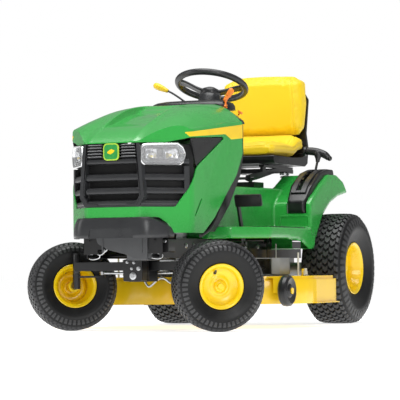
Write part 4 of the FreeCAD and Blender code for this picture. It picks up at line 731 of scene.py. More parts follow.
def inset(points, amount):
    """Polygon moved inwards towards its middle by about amount."""
    xs, ys = [p[0] for p in points], [p[1] for p in points]
    cx, cy = (min(xs) + max(xs)) / 2, (min(ys) + max(ys)) / 2
    fx = 1 - 2 * amount / (max(xs) - min(xs))
    fy = 1 - 2 * amount / (max(ys) - min(ys))
    return [(cx + (p[0] - cx) * fx, cy + (p[1] - cy) * fy) + tuple(p[2:]) for p in points]


def lamp_ring(amount):
    """The lamp's outline, moved in by amount and rounded."""
    return rounded(inset(LAMP_OUTLINE, amount), steps=5)


def ring_stack(levels, caps=True):
    """Closed outlines of equal point count joined one to the next; each is (points, depth)."""
    return grid_mesh([[(p[0], p[1], d) for p in pts] for pts, d in levels], close_cols=True, caps=caps)


def lamps():
    for s, word in ((1, "left"), (-1, "right")):
        place = lamp_frame(s)
        o = [lamp_ring(v) for v in (0, 2.5, 7, 8.5, 14)]
        bezel = grid_mesh([[(p[0], p[1], d) for p in pts] for pts, d in
                           ((o[0], -16), (o[0], 2.5), (o[1], 5), (o[2], 4.2), (o[3], 1), (o[4], -16))],
                          close_rings=True, close_cols=True)
        piece("lamp_bezel_" + word, bezel, "hood_assembly", "chrome_trim", smooth=35, place=place,
              replaces=("headlamps",) if s > 0 else ())
        bowl = ring_stack([(lamp_ring(30), -22),
                           (lamp_ring(20), -17), (o[4], -4),
                           (lamp_ring(12), -4),
                           (lamp_ring(13), -25)])
        piece("lamp_bowl_" + word, bowl, "hood_assembly", "reflector", smooth=30, place=place)
        ribs = [prism("z", rounded(rect(x, x + 2.6, 684, 738), 1, 2), -23, -14)
                for x in (14, 23, 84, 93, 102, 172, 179)]
        piece("lamp_ribs_" + word, merged(*ribs), "hood_assembly", "grey_plastic", smooth=30, place=place)
        rings = []
        for cx, cz, r in ((136, 712, 25), (52, 706, 21)):
            rings.append(spun([(r, 0), (r, 9), (r - 2, 10), (r - 5, 6), (r * 0.5, 1.2), (0.1, 0.4)],
                              (cx, cz, -20),
                              (0, 0, 1), 40))
        piece("lamp_cups_" + word, merged(*rings), "hood_assembly", "reflector", smooth=40, place=place)
        bulbs = [spun([(5, 0), (5.5, 8), (4.6, 12), (2.4, 14.4), (0.1, 15)], (cx, cz, -19), (0, 0, 1), 20)
                 for cx, cz in ((136, 712), (52, 706))]
        piece("lamp_bulbs_" + word, merged(*bulbs), "hood_assembly", "bulb", smooth=40, place=place)
        brow = prism("z", rounded([(20, 744), (160, 748), (166, 738), (26, 735)], 3), -10, -5)
        piece("lamp_brow_" + word, brow, "hood_assembly", "grey_plastic", place=place, bevel=0.8)
        glass = ring_stack([(o[3], -1.2), (o[3], 1.0), (lamp_ring(14), 2.6)])
        piece("lamp_glass_" + word, glass, "hood_assembly", "clear_lens", smooth=30, place=place,
              replaces=("headlamp_lenses",) if s > 0 else ())


LOOKS["badge_edge"] = look("badge_edge", srgb(176, 214, 60), 0.3, coat=0.7, vary=0.06, patch=0.02)
LOOKS["reflector"] = look("lamp_reflector", (0.5, 0.51, 0.53), 0.2, metal=1.0, vary=0.04, patch=0.02,
                          grain=0.08,
                          size=0.004)
LOOKS["bulb"] = look("lamp_bulb", srgb(250, 226, 140), 0.2, coat=0.5, vary=0.1, patch=0.01)
grille()
lamps()


# ---- bumper -------------------------------------------------------------------------------------
def bumper():
    rows = []
    # z, how far the plan outline is drawn in
    for z, draw in ((380, 3), (384, 0.5), (394, 0), (426, 2), (448, 6), (460, 10), (467, 15), (470, 22)):
        plan = rounded(symmetric([(216 - draw, -1406), (214 - draw, -1452 + draw * 0.6, 44),
                                  (158 - draw * 0.8, -1548 + draw, 58)]), steps=9)
        rows.append([(x, y, z) for x, y in plan])
    shell = grid_mesh(rows, close_cols=True, caps=True)
    hollow = rounded(symmetric([(210, -1390), (208, -1450, 40), (154, -1541, 52)]), steps=9)
    shell = boolean("DIFFERENCE", shell, prism("z", hollow, 374, 446))
    face = rounded(symmetric([(223, 377, 4), (217, 404, 26), (205, 436, 40), (158, 462, 26)]), steps=8)
    shell = boolean("INTERSECT", shell, prism("y", face, -1560, -1396))
    # shallow central recess with a stepped lower lip
    recess = rounded(symmetric([(104, 360), (92, 418, 8)]), steps=4)
    shell = boolean("DIFFERENCE", shell, prism("y", recess, -1560, -1544.5))
    lugs = []
    for x in (48, 66.5):
        for s in (1, -1):
            lugs.append(prism("x",
                              rounded([(-1506, 388), (-1508, 476), (-1500, 488, 6), (-1494, 476),
                                       (-1478, 388)], 2),
                              s * x, s * (x + 6)))
    piece("bumper_cowl", merged(shell, *lugs), "chassis", "grey_plastic", bevel=2.2, segments=3, smooth=42,
          replaces=("bumper",))


bumper()


# ---- seat ----------------------------------------------------------------------------------------
def super_ring(cx, cy, a, b, n, count=40):
    """Points of a superellipse."""
    out = []
    for k in range(count):
        t = math.tau * k / count
        c, s = math.cos(t), math.sin(t)
        out.append((cx + a * math.copysign(abs(c) ** (2.0 / n), c),
                    cy + b * math.copysign(abs(s) ** (2.0 / n), s)))
    return out


def inflate(obj, voxel, pressure, limit):
    """Cloth under pressure from inside, its travel capped, applied to the mesh."""
    remesh = obj.modifiers.new("remesh", "REMESH")
    remesh.mode, remesh.voxel_size = "VOXEL", voxel
    apply_modifiers(obj)
    rest = [v.co.copy() for v in obj.data.vertices]
    cloth = obj.modifiers.new("cloth", "CLOTH")
    cloth.settings.use_pressure, cloth.settings.uniform_pressure_force = True, pressure
    cloth.settings.effector_weights.gravity = 0.0
    cloth.settings.tension_stiffness = cloth.settings.compression_stiffness = 30.0
    cloth.settings.bending_stiffness = 1.0
    cloth.point_cache.frame_start, cloth.point_cache.frame_end = 1, 20
    for step in range(1, 21):
        SCENE.frame_set(step)
    apply_modifiers(obj)
    SCENE.frame_set(1)
    for vertex, start in zip(obj.data.vertices, rest):
        move = vertex.co - start
        if move.length > limit:
            vertex.co = start + move.normalized() * limit


def apply_modifiers(obj):
    graph = bpy.context.evaluated_depsgraph_get()
    mesh = bpy.data.meshes.new_from_object(obj.evaluated_get(graph))
    old = obj.data
    mesh.name = old.name
    obj.modifiers.clear()
    obj.data = mesh
    bpy.data.meshes.remove(old)


def press_seams(obj, seams, width, depth):
    """Draws the surface in along sewn channels; seams give a signed distance for a chassis-frame point."""
    to_chassis = TO_ROW.inverted()
    normals = [v.normal.copy() for v in obj.data.vertices]
    for vertex, normal in zip(obj.data.vertices, normals):
        p = to_chassis @ vertex.co
        pull = 0.0
        for seam in seams:
            d, weight = seam(p, normal)
            pull = max(pull, weight * math.exp(-(d / width) ** 2))
        vertex.co -= normal * (pull * depth / 1000.0)


def soft_piece(name, bm, node, seams, voxel=0.006, limit=0.006):
    obj = piece(name, bm, "seat", "seat_vinyl", smooth=180)
    inflate(obj, voxel, 4.0, limit)
    obj.data.materials.clear()
    obj.data.materials.append(LOOKS["seat_vinyl"])
    obj.modifiers.new("subdivide", "SUBSURF").levels = 1
    apply_modifiers(obj)
    bm = bmesh.new()
    bm.from_mesh(obj.data)
    for _ in range(3):
        bmesh.ops.smooth_vert(bm, verts=bm.verts, factor=0.5, use_axis_x=True, use_axis_y=True,
                              use_axis_z=True)
    bm.to_mesh(obj.data)
    bm.free()
    press_seams(obj, seams, 4.5, 3.2)
    obj.data.shade_smooth()
    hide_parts(node)
    return obj


def seat_cushion():
    """Front edge low, top dipping in the middle, with a raised and rounded bolster at the rear."""
    rows = []
    for i in range(33):
        t = i / 32.0
        y = -300 + 402 * t
        top = 822 + 4 * math.sin(math.pi * min(1.0, t * 1.6)) + 48 * ease((t - 0.64) / 0.26)
        top -= 12 * (1 - ease(t / 0.06)) + 12 * ease((t - 0.93) / 0.07)
        low = 766 + 34 * ease((t - 0.72) / 0.26) + 4 * (1 - ease(t / 0.05))
        half = 203 - 10 * (1 - ease(t / 0.1)) - 8 * ease((t - 0.9) / 0.1)
        ring = []
        for x, z in super_ring(0, 0, 1.0, 1.0, 4.2, 48):
            dish = -9.0 * math.exp(-((x) / 0.62) ** 4) * (1 - 0.4 * ease((t - 0.7) / 0.2)) if z > 0 else 0.0
            ring.append((x * half, y, (top + low) / 2 + z * (top - low) / 2 + dish))
        rows.append(ring)

    def side_seam(p, n):
        return abs(abs(p.x) - 168), (1.0 if n.z > 0.2 else 0.0)

    def edge_seam(p, n):
        return p.z - (803 + 26 * ease((p.y + 30) / 90.0)), (0.8 if abs(n.z) < 0.75 else 0.0)
    soft_piece("seat_cushion_pad", grid_mesh(rows, close_cols=True, caps=True), "seat_cushion",
               [side_seam, edge_seam])


def seat_back():
    """Back cushion: wide and flat, its lower edge bowed down, rounded shoulders, wrapped side bolsters."""
    rows = []
    for i in range(37):
        t = i / 36.0
        z = 872 + 278 * t
        front = 66 - 6 * math.sin(math.pi * t) + 34 * ease((t - 0.84) / 0.16) + 22 * (1 - ease(t / 0.10))
        rear = 130 + 38 * ease(t / 0.62) - 26 * ease((t - 0.88) / 0.12) - 6 * (1 - ease(t / 0.08))
        half = 205 - 6 * ease((t - 0.45) / 0.5) - 44 * ease((t - 0.84) / 0.16) ** 2
        half -= 22 * (1 - ease(t / 0.14))
        ring = []
        for x, y in super_ring(0, 0, 1.0, 1.0, 4.6, 52):
            bolster = math.exp(-((abs(x) - 0.90) / 0.13) ** 2) * math.sin(math.pi * t)
            wrap = -9.0 * bolster if y < 0 else 0
            bow = (1 - x * x) * (8 * ease((t - 0.9) / 0.1) - 12.0 * (1 - ease(t / 0.22)))
            ring.append((x * half, (front + rear) / 2 + y * (rear - front) / 2 + wrap, z + bow))
        rows.append(ring)

    def side_seam(p, n):
        return abs(abs(p.x) - 158 + 10 * ease((p.z - 1000) / 150.0)), (1.0 if n.y < -0.3 and p.z < 1122
                                                                       else 0.0)

    def edge_seam(p, n):
        return p.y - (112 + 14 * ease((p.z - 868) / 200.0)), (0.8 if abs(n.y) < 0.8 else 0.0)
    soft_piece("seat_back_pad", grid_mesh(rows, close_cols=True, caps=True), "seat_back",
               [side_seam, edge_seam])


seat_cushion()
seat_back()


# ---- steering wheel ---------------------------------------------------------------------------------
def steering_wheel():
    tilt = Matrix.Translation(WHEEL_C) @ Matrix.Rotation(math.radians(-COLUMN_TILT), 4, "X")
    rings = []
    for i in range(120):
        a = math.tau * i / 120
        ring = []
        for k in range(20):
            b = math.tau * k / 20
            flat = 13.6 + 1.2 * math.cos(b) * 0.5
            scallop = 1.3 * max(0.0, math.cos(a * 30)) if math.cos(b) < -0.35 and math.sin(b) < 0.4 else 0.0
            r = flat + 1.0 - scallop
            ring.append(((149 + r * math.cos(b)) * math.cos(a), (149 + r * math.cos(b)) * math.sin(a),
                         r * 0.98 * math.sin(b)))
        rings.append(ring)
    piece("wheel_ring", grid_mesh(rings, close_rings=True, close_cols=True), "steering_column", "grip_black",
          smooth=60, place=tilt, replaces=("steering_wheel",))
    parts = []
    for angle in (207, 12, 109.5):
        turn = Matrix.Rotation(math.radians(angle), 4, "Z")
        levels = []
        for i in range(17):
            t = i / 16.0
            x = 26 + 120 * t
            half = 25 - 6 * math.sin(math.pi * min(1, t * 1.1)) + 3 * t
            z = -32 + 30 * ease(t * 1.05) - 2 * t
            thick = 8.5 - 2.5 * t
            ring = [(x, half * px, z + thick * pz - 3.0 * abs(px) ** 2) for px,
                    pz in super_ring(0, 0, 1, 1, 3.2, 24)]
            levels.append([turn @ Vector(p) for p in ring])
        parts.append(grid_mesh(levels, close_cols=True, caps=True))
    hub = spun([(30, -58), (40, -56), (45, -50), (46, -36), (43, -27), (34, -21.5), (18, -19.5), (0, -19)],
               (0, 0, 0),
               (0, 0, 1), 48)
    piece("wheel_spokes", merged(hub, *parts), "steering_column", "grip_black", smooth=50, place=tilt)
    cap = spun([(26, -22), (26, -17.5), (24, -15.5), (12, -14), (0, -13.6)], (0, 0, 0), (0, 0, 1), 48)
    piece("wheel_cap", cap, "steering_column", "black_plastic", smooth=40, place=tilt)


steering_wheel()


# ---- lift lever handle, pedals, small controls ------------------------------------------------------
def controls():
    # drooping T handle: a banana grip with a flange at its inner end, on a collar and a thin rod
    path = [(247, -8, 788.5), (257, -8, 789), (281, -8, 788), (307, -8, 783), (332, -8, 774), (351, -8, 762),
            (365, -8, 747)]
    rows = [(i,) + p for i, p in enumerate(path)]
    dense = [curve_at(rows, 6 * i / 30.0) for i in range(31)]
    radii = [11 + 6 * ease(i / 6.0) if i < 8 else 17 - 4.5 * ease((i - 22) / 8.0) for i in range(31)]
    radii[-1], radii[-2] = 4.5, 8.6
    parts = [tube(dense, radii, 22)]
    parts.append(spun([(19, -5), (22.5, -3.5), (22.5, 0.5), (18, 3), (10, 5)], (248, -8, 788.3),
                      (1, 0, -0.12), 28))
    parts.append(spun([(7, -6), (9.5, -2), (11, 8), (14, 16), (19, 26), (21, 34), (18, 42)], (310, -17, 742),
                      (0, 0.2, 1), 24))
    piece("lift_handle", merged(*parts), "lift_lever_body", "grip_black", smooth=45)
    for name, body, x0, x1, y, z, tall in (("brake", "brake_pedal_body", 270, 385, -898, 538, 46),
                                           ("forward", "forward_pedal_body", -344, -266.5, -898, 530, 62),
                                           ("reverse", "reverse_pedal_body", -372, -285, -868, 476, 40)):
        place = Matrix.Translation((0, y, z)) @ Matrix.Rotation(math.radians(18), 4, "X")
        shell = prism("y", rounded(rect(x0 - 3, x1 + 3, -tall / 2 - 3, tall / 2 + 3), 8), -1, 9.5)
        ribs = []
        count = int((x1 - x0) / 9)
        for k in range(count):
            x = x0 + 4 + (x1 - x0 - 8) * k / (count - 1)
            ribs.append(prism("y", rounded(rect(x - 1.6, x + 1.6, -tall / 2 + 3, tall / 2 - 3), 1.5, 2), 9,
                              12))
        piece("pad_" + name, merged(shell, *ribs), body, "grip_black", bevel=1.2, smooth=40, place=place)
    # blade lever: a thin bent rod with a long yellow grip
    route = [(-24, -690, 962), (-66, -687, 994), (-112, -685, 1024), (-152, -684, 1043)]
    rod = tube(route, 4.4, 14, smooth=2)
    boot = spun([(15, -4), (15, 3), (11, 9), (6, 16), (5, 24)], (-20, -690, 955), (-0.5, 0.05, 0.6), 24)
    piece("blade_lever_rod", merged(rod, boot), "blade_engage", "grip_black", smooth=50,
          replaces=("blade_lever",))
    lean = Vector((-70, 0, 32)).normalized()
    grip = spun([(0.1, -4), (6, -3), (8.5, 0), (9.5, 8), (12.5, 24), (14.5, 42), (14.5, 56), (12, 66),
                 (7, 71), (0.1, 72)],
                (-136, -684.5, 1035), lean, 32)
    piece("blade_lever_grip", grip, "blade_engage", "yellow_plastic", smooth=50)


def dash_brow():
    """Low moulded cover over the rear of the hood, on each side of the column."""
    rings = []
    for z, a, b in ((938, 188, 86), (956, 186, 84), (968, 178, 78), (976, 160, 66), (981, 126, 50),
                    (983, 70, 30)):
        rings.append([(x, y, z) for x, y in super_ring(0, -718, a, b, 3.4, 64)])
    piece("dash_brow", grid_mesh(rings, close_cols=True, caps=True), "chassis", "black_plastic", smooth=40)


dash_brow()


controls()


# ---- moulded fender deck and consoles -----------------------------------------------------------
def softened(bm, voxel, rounds):
    """The solid with its edges eased: rebuilt on an even grid of voxel mm, then relaxed."""
    obj = temp(bm)
    obj.modifiers.new("remesh", "REMESH").voxel_size = voxel
    relax = obj.modifiers.new("relax", "SMOOTH")
    relax.factor, relax.iterations = 0.5, rounds
    graph = bpy.context.evaluated_depsgraph_get()
    mesh = bpy.data.meshes.new_from_object(obj.evaluated_get(graph))
    out = bmesh.new()
    out.from_mesh(mesh)
    old = obj.data
    bpy.data.objects.remove(obj)
    bpy.data.meshes.remove(old)
    bpy.data.meshes.remove(mesh)
    return out


CROWN = [(-300, 540), (-262, 570), (-150, 634), (-60, 676), (40, 678), (130, 650), (188, 600)]
ARCH = [(118, 589), (60, 580), (-44, 547), (-135, 493), (-186, 436), (-250, 362), (-276, 338)]


def fender_deck():
    outer = [(-1010, 378), (-1010, 436), (-880, 530, 30), (-795, 608, 20), (-300, 612), (190, 612),
             (190, 396)]
    parts = [prism("x", rounded(outer, steps=5), -200, 200)]
    for s in (1, -1):
        plan = rounded([(s * 150, -1010), (s * 290, -992, 30), (s * 390, -800, 60), (s * 390, -296, 20),
                        (s * 150, -296)])
        parts.append(prism("z", plan, 378, 430))
        skirt = rounded([(-600, 378), (-430, 368, 60), (-345, 338, 40), (-276, 336, 24), (-262, 400),
                         (-600, 400)])
        parts.append(prism("x", skirt, *span(s, 200, 390)))
        lobe = rounded([(-300, 336)] + [(-300, 540, 20)] + [p + (30,) for p in CROWN[1:-1]] + [(188, 600)] +
                       [p + (40,) for p in ARCH[:-1]] + [(-276, 338, 10)])
        parts.append(prism("x", lobe, *span(s, 150, 380)))
    solid = parts[0]
    for part in parts[1:]:
        solid = boolean("UNION", solid, part)
    solid = softened(solid, 6.5, 7)
    inner = [(-1004, 350), (-1004, 430), (-876, 523), (-792, 601), (-300, 605), (180, 605), (240, 605),
             (240, 350)]
    tools = [prism("x", inner, -193, 193)]
    for s in (1, -1):
        plan = [(s * 120, -1003), (s * 286, -985), (s * 384, -799), (s * 384, -303), (s * 120, -303)]
        tools.append(prism("z", plan, 340, 423))
        hollow = [(-293, 300), (-293, 536), (-258, 564), (-146, 628), (-58, 669), (38, 671), (126, 643),
                  (196, 588),
                  (300, 588), (300, 300)]
        tools.append(prism("x", hollow, *span(s, 206, 374)))
        tools.append(prism("x", [(-310, 492), (-310, 720), (58, 720), (58, 602), (-100, 558)],
                           *span(s, 265, 359)))
    # way for the lift lever's crank through the wall behind the left footrest
    tools.append(prism("x", rect(-330, -268, 320, 423), 288, 332))
    # moulded hollows: ovals in the tunnel's flank and a shallow panel under each console
    for s in (1, -1):
        for y, z, ry, rz in ((-351, 536, 100, 23), (-587, 508, 40, 18)):
            tools.append(tube([(s * 193.5, y, z), (s * 196, y, z)], 1.0, 48).copy())
            bmesh.ops.transform(tools[-1], verts=tools[-1].verts, matrix=Matrix.Translation((s * 196, y, z)) @
                                Matrix.Diagonal((1.0, ry, rz, 1.0)) @ Matrix.Translation((-s * 196, -y, -z)))
    for tool in tools:
        solid = boolean("DIFFERENCE", solid, tool)
    piece("fender_moulding", solid, "chassis", "green_paint", smooth=32, replaces=("fender_deck",))
    for s, word in ((1, "left"), (-1, "right")):
        panel = rounded([(s * 232, 488, 8), (s * 373, 488, 14), (s * 371, 396, 20), (s * 275, 400, 30),
                         (s * 228, 428, 30)])
        lip = rounded([(s * 238, 482, 8), (s * 367, 482, 14), (s * 365, 403, 18), (s * 278, 407, 28),
                       (s * 235, 432, 28)])
        frame_bm = boolean("DIFFERENCE", prism("y", panel, -303.6, -300.5), prism("y", lip, -310, -290))
        piece("fender_panel_" + word, frame_bm, "chassis", "green_paint", bevel=1.4, segments=3, smooth=40)
    # the footrest's ribs
    ribs = []
    for s in (1, -1):
        for k in range(9):
            x = s * (226 + 17 * k)
            ribs.append(prism("z", rounded(rect(x - 3.5, x + 3.5, -780 + 6 * k, -330), 3, 3), 427, 433.5))
    piece("footrest_treads", merged(*ribs), "chassis", "black_plastic", bevel=0.9, smooth=40)


def consoles():
    side = [(-306, 490, 24), (-308, 548, 30), (-236, 622, 90), (-128, 682, 90), (-30, 702, 60), (46, 702, 16),
            (52, 656, 8), (-60, 632), (-262, 496, 20)]
    for s, word in ((1, "left"), (-1, "right")):
        body = prism("x", rounded(side, steps=7), *span(s, 261, 363))
        plan = rounded([(s * (312 + dx), y, r) for dx, y, r in ((-42, -312, 30), (42, -312, 30),
                                                                (51, -230, 60),
                                                                (51, 60, 10), (-51, 60, 10),
                                                                (-51, -230, 60))], steps=6)
        body = boolean("INTERSECT", body, prism("z", plan, 440, 760))
        body = softened(body, 3.2, 10)
        hollow = [(-294, 470), (-294, 546, 20), (-230, 612, 80), (-124, 671, 80), (-30, 690, 40), (42, 692),
                  (46, 640), (46, 400), (-294, 400)]
        body = boolean("DIFFERENCE", body, prism("x", rounded(hollow, steps=5), *span(s, 274, 350)))
        if s > 0:
            cut = prism("z", rounded(rect(300, 320, -268, 18), 9, 5), 480, 800)
        else:
            cut = prism("z", rounded(rect(-351, -273, -43, 35), 38.5, 10), 600, 800)
        body = boolean("DIFFERENCE", body, cut)
        piece("console_" + word, body, "chassis", "black_plastic", smooth=35, replaces=("consoles",) if s > 0
              else ())
        # raised lip and sunk slot guide that follow the bowed top
        top = [(-286, 577), (-262, 604), (-226, 634), (-180, 661), (-128, 683), (-80, 695), (-40, 700.5),
               (0, 702), (22, 702)]
        rows = [(k,) + p for k, p in enumerate(top)]
        line = [curve_at(rows, 8 * k / 48.0) for k in range(49)]

        def ribbon(x0, x1, lift, drop, first, last):
            """A strip that follows the top line from one station to another."""
            rings = []
            for k in range(first, last + 1):
                (ya, za), (yb, zb) = line[max(0, k - 1)], line[min(48, k + 1)]
                n = Vector((0, -(zb - za), yb - ya)).normalized()
                base = Vector((0, line[k][0], line[k][1]))
                rings.append([base + n * d + Vector((s * x, 0, 0)) for x, d in
                              ((x0, -drop), (x0, lift - 0.8), (x0 + 0.8, lift), (x1 - 0.8, lift),
                               (x1, lift - 0.8), (x1, -drop))])
            return grid_mesh(rings, close_cols=True, caps=True)
        if s > 0:
            lips = [ribbon(276, 298, 1.6, 4, 3, 47), ribbon(322, 346, 1.6, 4, 3, 47),
                    ribbon(298, 322, 1.6, 4, 3, 5)]
            steps = [ribbon(298, 306, -1.5, 8, k, k + 2) for k in range(10, 44, 6)]
            piece("console_guide", merged(*steps), "chassis", "black_plastic", smooth=40)
        else:
            lips = [ribbon(276, 346, 1.2, 4, 4, 28)]
        piece("console_plate_" + word, merged(*lips), "chassis", "grey_plastic", smooth=40)


fender_deck()
consoles()


# ---- running gear details -----------------------------------------------------------------------
def hex_bolt(centre, axis, across=13.0, high=6.0, washer=0.0):
    """A chamfered hexagon head standing on centre along axis, on a washer if one is given."""
    r = across / math.sqrt(3.0)
    axis = Vector(axis).normalized()
    side = axis.orthogonal().normalized()
    other = axis.cross(side)
    centre = Vector(centre)

    def ring(radius, lift):
        corners = [math.tau * k / 6 for k in range(6)]
        return [centre + axis * lift + (side * math.cos(a) + other * math.sin(a)) * radius for a in corners]
    head = grid_mesh([ring(r, -2), ring(r, high * 0.78), ring(r * 0.86, high)], close_cols=True, caps=True)
    if washer:
        return merged(head, spun([(washer, -1), (washer, 1.6), (washer - 1, 2.0), (0, 2.0)], centre, axis,
                                 24))
    return head


def chassis_details():
    y = FRONT_AXLE_Y - 47
    bolts = [hex_bolt((x, y + 94, z), (0, 1, 0), 15, 7, 10) for x,
             z in ((-28, 290), (28, 290), (-30, 226), (30, 226))]
    bolts += [hex_bolt((s * 165, yy, 350), (s, 0, 0), 14, 6, 10) for s in (1, -1)
              for yy in (-1380, -1330, -1180, -1100, -700, -540, -400)]
    piece("frame_bolts", merged(*bolts), "chassis", "steel", smooth=30)
    # draft rod in front of the deck, a steel bar bent down and up again
    rod = [(-64, -1150, 262), (-30, -1150, 190), (-14, -1150, 179), (22, -1150, 214), (46, -1140, 220),
           (70, -1130, 196),
           (90, -1105, 196)]
    piece("draft_rod", tube(rod, 4.5, 14, smooth=2), "chassis", "steel", smooth=60)
    # rolled trim along the raked rear edge of the engine bay
    trim = [tube([(s * 257, y, z) for y, z in ((-872, 668), (-934, 605), (-1018, 538), (-1080, 462),
                                               (-1150, 412),
                                               (-1236, 388))], 7.5, 16, smooth=2) for s in (1, -1)]
    piece("bay_trim", merged(*trim), "chassis", "black_plastic", smooth=60)
    # boxes on the rail ends, and a bolted bracket ahead of the axle pivot
    blocks = []
    for s in (1, -1):
        blocks.append(prism("y", rounded(rect(s * 131, s * 190, 322, 379), 5), -1406, -1340))
    face = prism("y", rounded(rect(-43, 43, 206, 296), 8), -1345, -1339)
    cheeks = [prism("x", rounded([(-1344, 208), (-1291, 208), (-1291, 300), (-1344, 294)], 4),
                    *span(s, 38, 43))
              for s in (1, -1)]
    piece("front_brackets", merged(*(blocks + [face] + cheeks)), "chassis", "frame_black", bevel=1.5,
          smooth=35)
    pins = [hex_bolt((x, -1345, z), (0, -1, 0), a, 6, w) for x, z, a, w in
            ((6, 282, 9, 6), (-4, 258, 9, 6), (27, 258, 13, 9), (-24, 284, 9, 6), (2, 228, 20, 15))]
    pins += [hex_bolt((s * x, -1406, z), (0, -1, 0), 11, 5, 8) for s in (1, -1) for x,
             z in ((174, 368), (144, 336))]
    piece("front_bolts", merged(*pins), "chassis", "steel", smooth=30)
    # tie-down loop and the stamped link beside it
    rings = []
    for s in (1, -1):
        rings.append(hoop((s * 111, -1418, 335), 20, 3.2, 30))
        rings.append(tube([(s * 96, -1418, 322), (s * 84, -1420, 330), (s * 74, -1424, 338)], 3.2, 12,
                          smooth=2))
        rings.append(tube([(s * 112, -1418, 316), (s * 112, -1416, 304), (s * 130, -1414, 298),
                           (s * 152, -1414, 296),
                           (s * 168, -1412, 304), (s * 166, -1412, 314), (s * 146, -1412, 317)], 3.0, 12,
                           smooth=2))
    piece("tie_down_loops", merged(*rings), "chassis", "steel", smooth=60)


def hoop(centre, radius, wire, steps):
    """A wire ring standing in the XZ plane."""
    rings = []
    for k in range(steps):
        a = math.tau * k / steps
        out = Vector((math.cos(a), 0, math.sin(a)))
        rings.append([Vector(centre) + out * (radius + wire * math.cos(b)) + Vector((0, wire * math.sin(b),
                                                                                     0))
                      for b in [math.tau * j / 12 for j in range(12)]])
    return grid_mesh(rings, close_rings=True, close_cols=True)


def front_plate():
    """Folded plate between the rail ends, drawn in and sloped back towards the axle."""
    face = rounded([(-118, 384), (-110, 360, 8), (-58, 333, 20), (10, 317, 20), (62, 296, 10), (112, 292, 12),
                    (112, 384)], steps=4)
    plate = prism("y", face, -1440, -1434)
    tail = prism("x", [(-1439, 318), (-1434, 318), (-1336, 296), (-1336, 290), (-1437, 292)], 20, 112)
    fold = prism("z",
                 rounded([(104, -1440), (122, -1420), (150, -1352), (146, -1350), (116, -1418), (104, -1434)],
                         1),
                 300, 384)
    ribs = [prism("z", rounded(rect(x - 3, x + 3, -1443, -1438), 1.4, 3), 322, 384)
            for x in (-88, 88)]
    piece("front_plate_folded", merged(plate, tail, fold, *ribs), "chassis", "frame_grey", bevel=1.2,
          smooth=35,
          replaces=("front_plate",))


front_plate()
chassis_details()


def deck_details():
    bolts = []
    for s in (1, -1):
        cx, cy = s * 258, DECK_Y_MIDDLE - s * 18
        for k in range(5):
            a = math.tau * k / 5 + 0.3
            bolts.append(hex_bolt((cx + 62 * math.cos(a), cy + 62 * math.sin(a), 221), (0, 0, 1), 12, 6, 9))
    bolts.append(hex_bolt((470, -600, 221), (0, 0, 1), 16, 6, 12))
    piece("deck_bolts", merged(*bolts), "mower_deck", "steel", smooth=30)
    port = [tube([(468, -600, 218), (468, -600, 240)], 9, 20),
            tube([(468, -600, 238), (468, -600, 252)], 6.5, 20)]
    links = [tube([(s * 430, -588, 220), (s * 430, -588, 320)], 4.2, 14) for s in (1, -1)]
    links += [tube([(s * 300, -520, 222), (s * 300, -520, 360)], 2.6, 10) for s in (1, -1)]
    piece("lift_rods", merged(*links), "mower_deck", "tank_plastic", smooth=50)
    piece("wash_port", merged(*port), "mower_deck", "tank_plastic", bevel=0.8, smooth=40)


DECK_Y_MIDDLE = -675.0
deck_details()


def drive_belt():
    """The mowing belt: held by the engine pulley in front, and by the deck's pulleys behind."""
    bm = bmesh.new()
    bm.from_mesh(frame["nodes"]["deck_belt"].data)
    bmesh.ops.remove_doubles(bm, verts=bm.verts, dist=0.00002)
    long_edges = [e for e in bm.edges if e.calc_length() > 0.06]
    bmesh.ops.subdivide_edges(bm, edges=long_edges, cuts=7, use_grid_fill=True)
    bmesh.ops.transform(bm, verts=bm.verts, matrix=TO_ROW.inverted())
    belt = piece("deck_belt_run", bm, None, "belt_rubber", smooth=40, replaces=("deck_belt",))
    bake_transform(belt)


drive_belt()


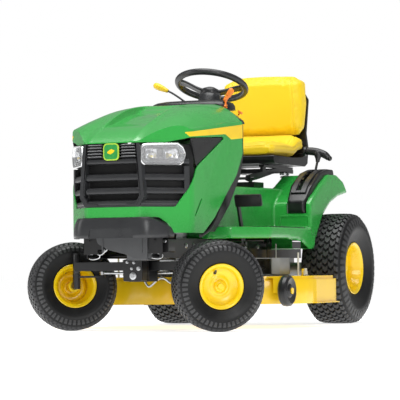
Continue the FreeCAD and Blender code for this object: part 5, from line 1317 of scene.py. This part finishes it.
# ---- camera, light and floor ---------------------------------------------------------------------
def studio():
    look_dir = Vector((-0.40234, 0.91494, 0.03144)).normalized()
    right = Vector((0.91584466, 0.40137735, -0.01117111))
    right = (right - look_dir * right.dot(look_dir)).normalized()
    up = right.cross(look_dir)
    camera = bpy.data.objects.new("camera", bpy.data.cameras.new("camera"))
    camera.matrix_world = Matrix.Translation((3.9854, -8.8887, 0.2494)) @ Matrix(
        (right, up, -look_dir)).transposed().to_4x4()
    camera.data.lens, camera.data.sensor_width = 200.3, 36.0
    camera.data.clip_start, camera.data.clip_end = 0.1, 200.0
    SCENE.collection.objects.link(camera)
    SCENE.camera = camera
    world = bpy.data.worlds.new("studio")
    world.use_nodes = True
    world.node_tree.nodes["Background"].inputs["Color"].default_value = (1.0, 1.0, 1.0, 1.0)
    path = world.node_tree.nodes.new("ShaderNodeLightPath")
    level = world.node_tree.nodes.new("ShaderNodeMapRange")
    level.inputs["To Min"].default_value, level.inputs["To Max"].default_value = WORLD_LIGHT, 1.0
    world.node_tree.links.new(path.outputs["Is Camera Ray"], level.inputs["Value"])
    world.node_tree.links.new(level.outputs["Result"], world.node_tree.nodes["Background"].inputs["Strength"])
    SCENE.world = world
    for name, place, target, size, energy in SOFT_LIGHTS:
        lamp = bpy.data.lights.new(name, "AREA")
        lamp.shape, lamp.size, lamp.size_y, lamp.energy = "RECTANGLE", size[0], size[1], energy
        obj = bpy.data.objects.new(name, lamp)
        aim = (Vector(target) - Vector(place)).to_track_quat("-Z", "Y")
        obj.matrix_world = Matrix.Translation(place) @ aim.to_matrix().to_4x4()
        SCENE.collection.objects.link(obj)
    floor_mat = bpy.data.materials.new("pale_floor")
    floor_mat.use_nodes = True
    tree = floor_mat.node_tree
    shader = tree.nodes["Principled BSDF"]
    shader.inputs["Roughness"].default_value = 0.85
    shader.inputs["Emission Color"].default_value = (1.0, 1.0, 1.0, 1.0)
    shader.inputs["Emission Strength"].default_value = FLOOR_GLOW
    shader.inputs["Specular IOR Level"].default_value = 0.1
    noise = tree.nodes.new("ShaderNodeTexNoise")
    noise.inputs["Scale"].default_value = 1.5
    ramp = tree.nodes.new("ShaderNodeValToRGB")
    ramp.color_ramp.elements[0].color = (0.90, 0.90, 0.90, 1.0)
    ramp.color_ramp.elements[1].color = (0.93, 0.93, 0.93, 1.0)
    tree.links.new(noise.outputs["Fac"], ramp.inputs["Fac"])
    tree.links.new(ramp.outputs["Color"], shader.inputs["Base Color"])
    bm = bmesh.new()
    bmesh.ops.create_grid(bm, x_segments=8, y_segments=8, size=60.0)
    mesh = bpy.data.meshes.new("floor")
    bm.to_mesh(mesh)
    bm.free()
    floor = bpy.data.objects.new("floor", mesh)
    floor.location.z = -0.0005
    mesh.materials.append(floor_mat)
    SCENE.collection.objects.link(floor)


WORLD_LIGHT, FLOOR_GLOW = 0.3, 0.72
SOFT_LIGHTS = [("top_soft", (0.2, -0.4, 4.2), (0.0, 0.0, 0.4), (3.0, 3.4), 150.0),
               ("front_soft", (3.6, -4.6, 2.6), (0.0, 0.0, 0.5), (2.0, 2.4), 95.0),
               ("side_soft", (-4.2, -2.6, 2.4), (0.0, 0.0, 0.5), (2.0, 3.0), 45.0)]
studio()
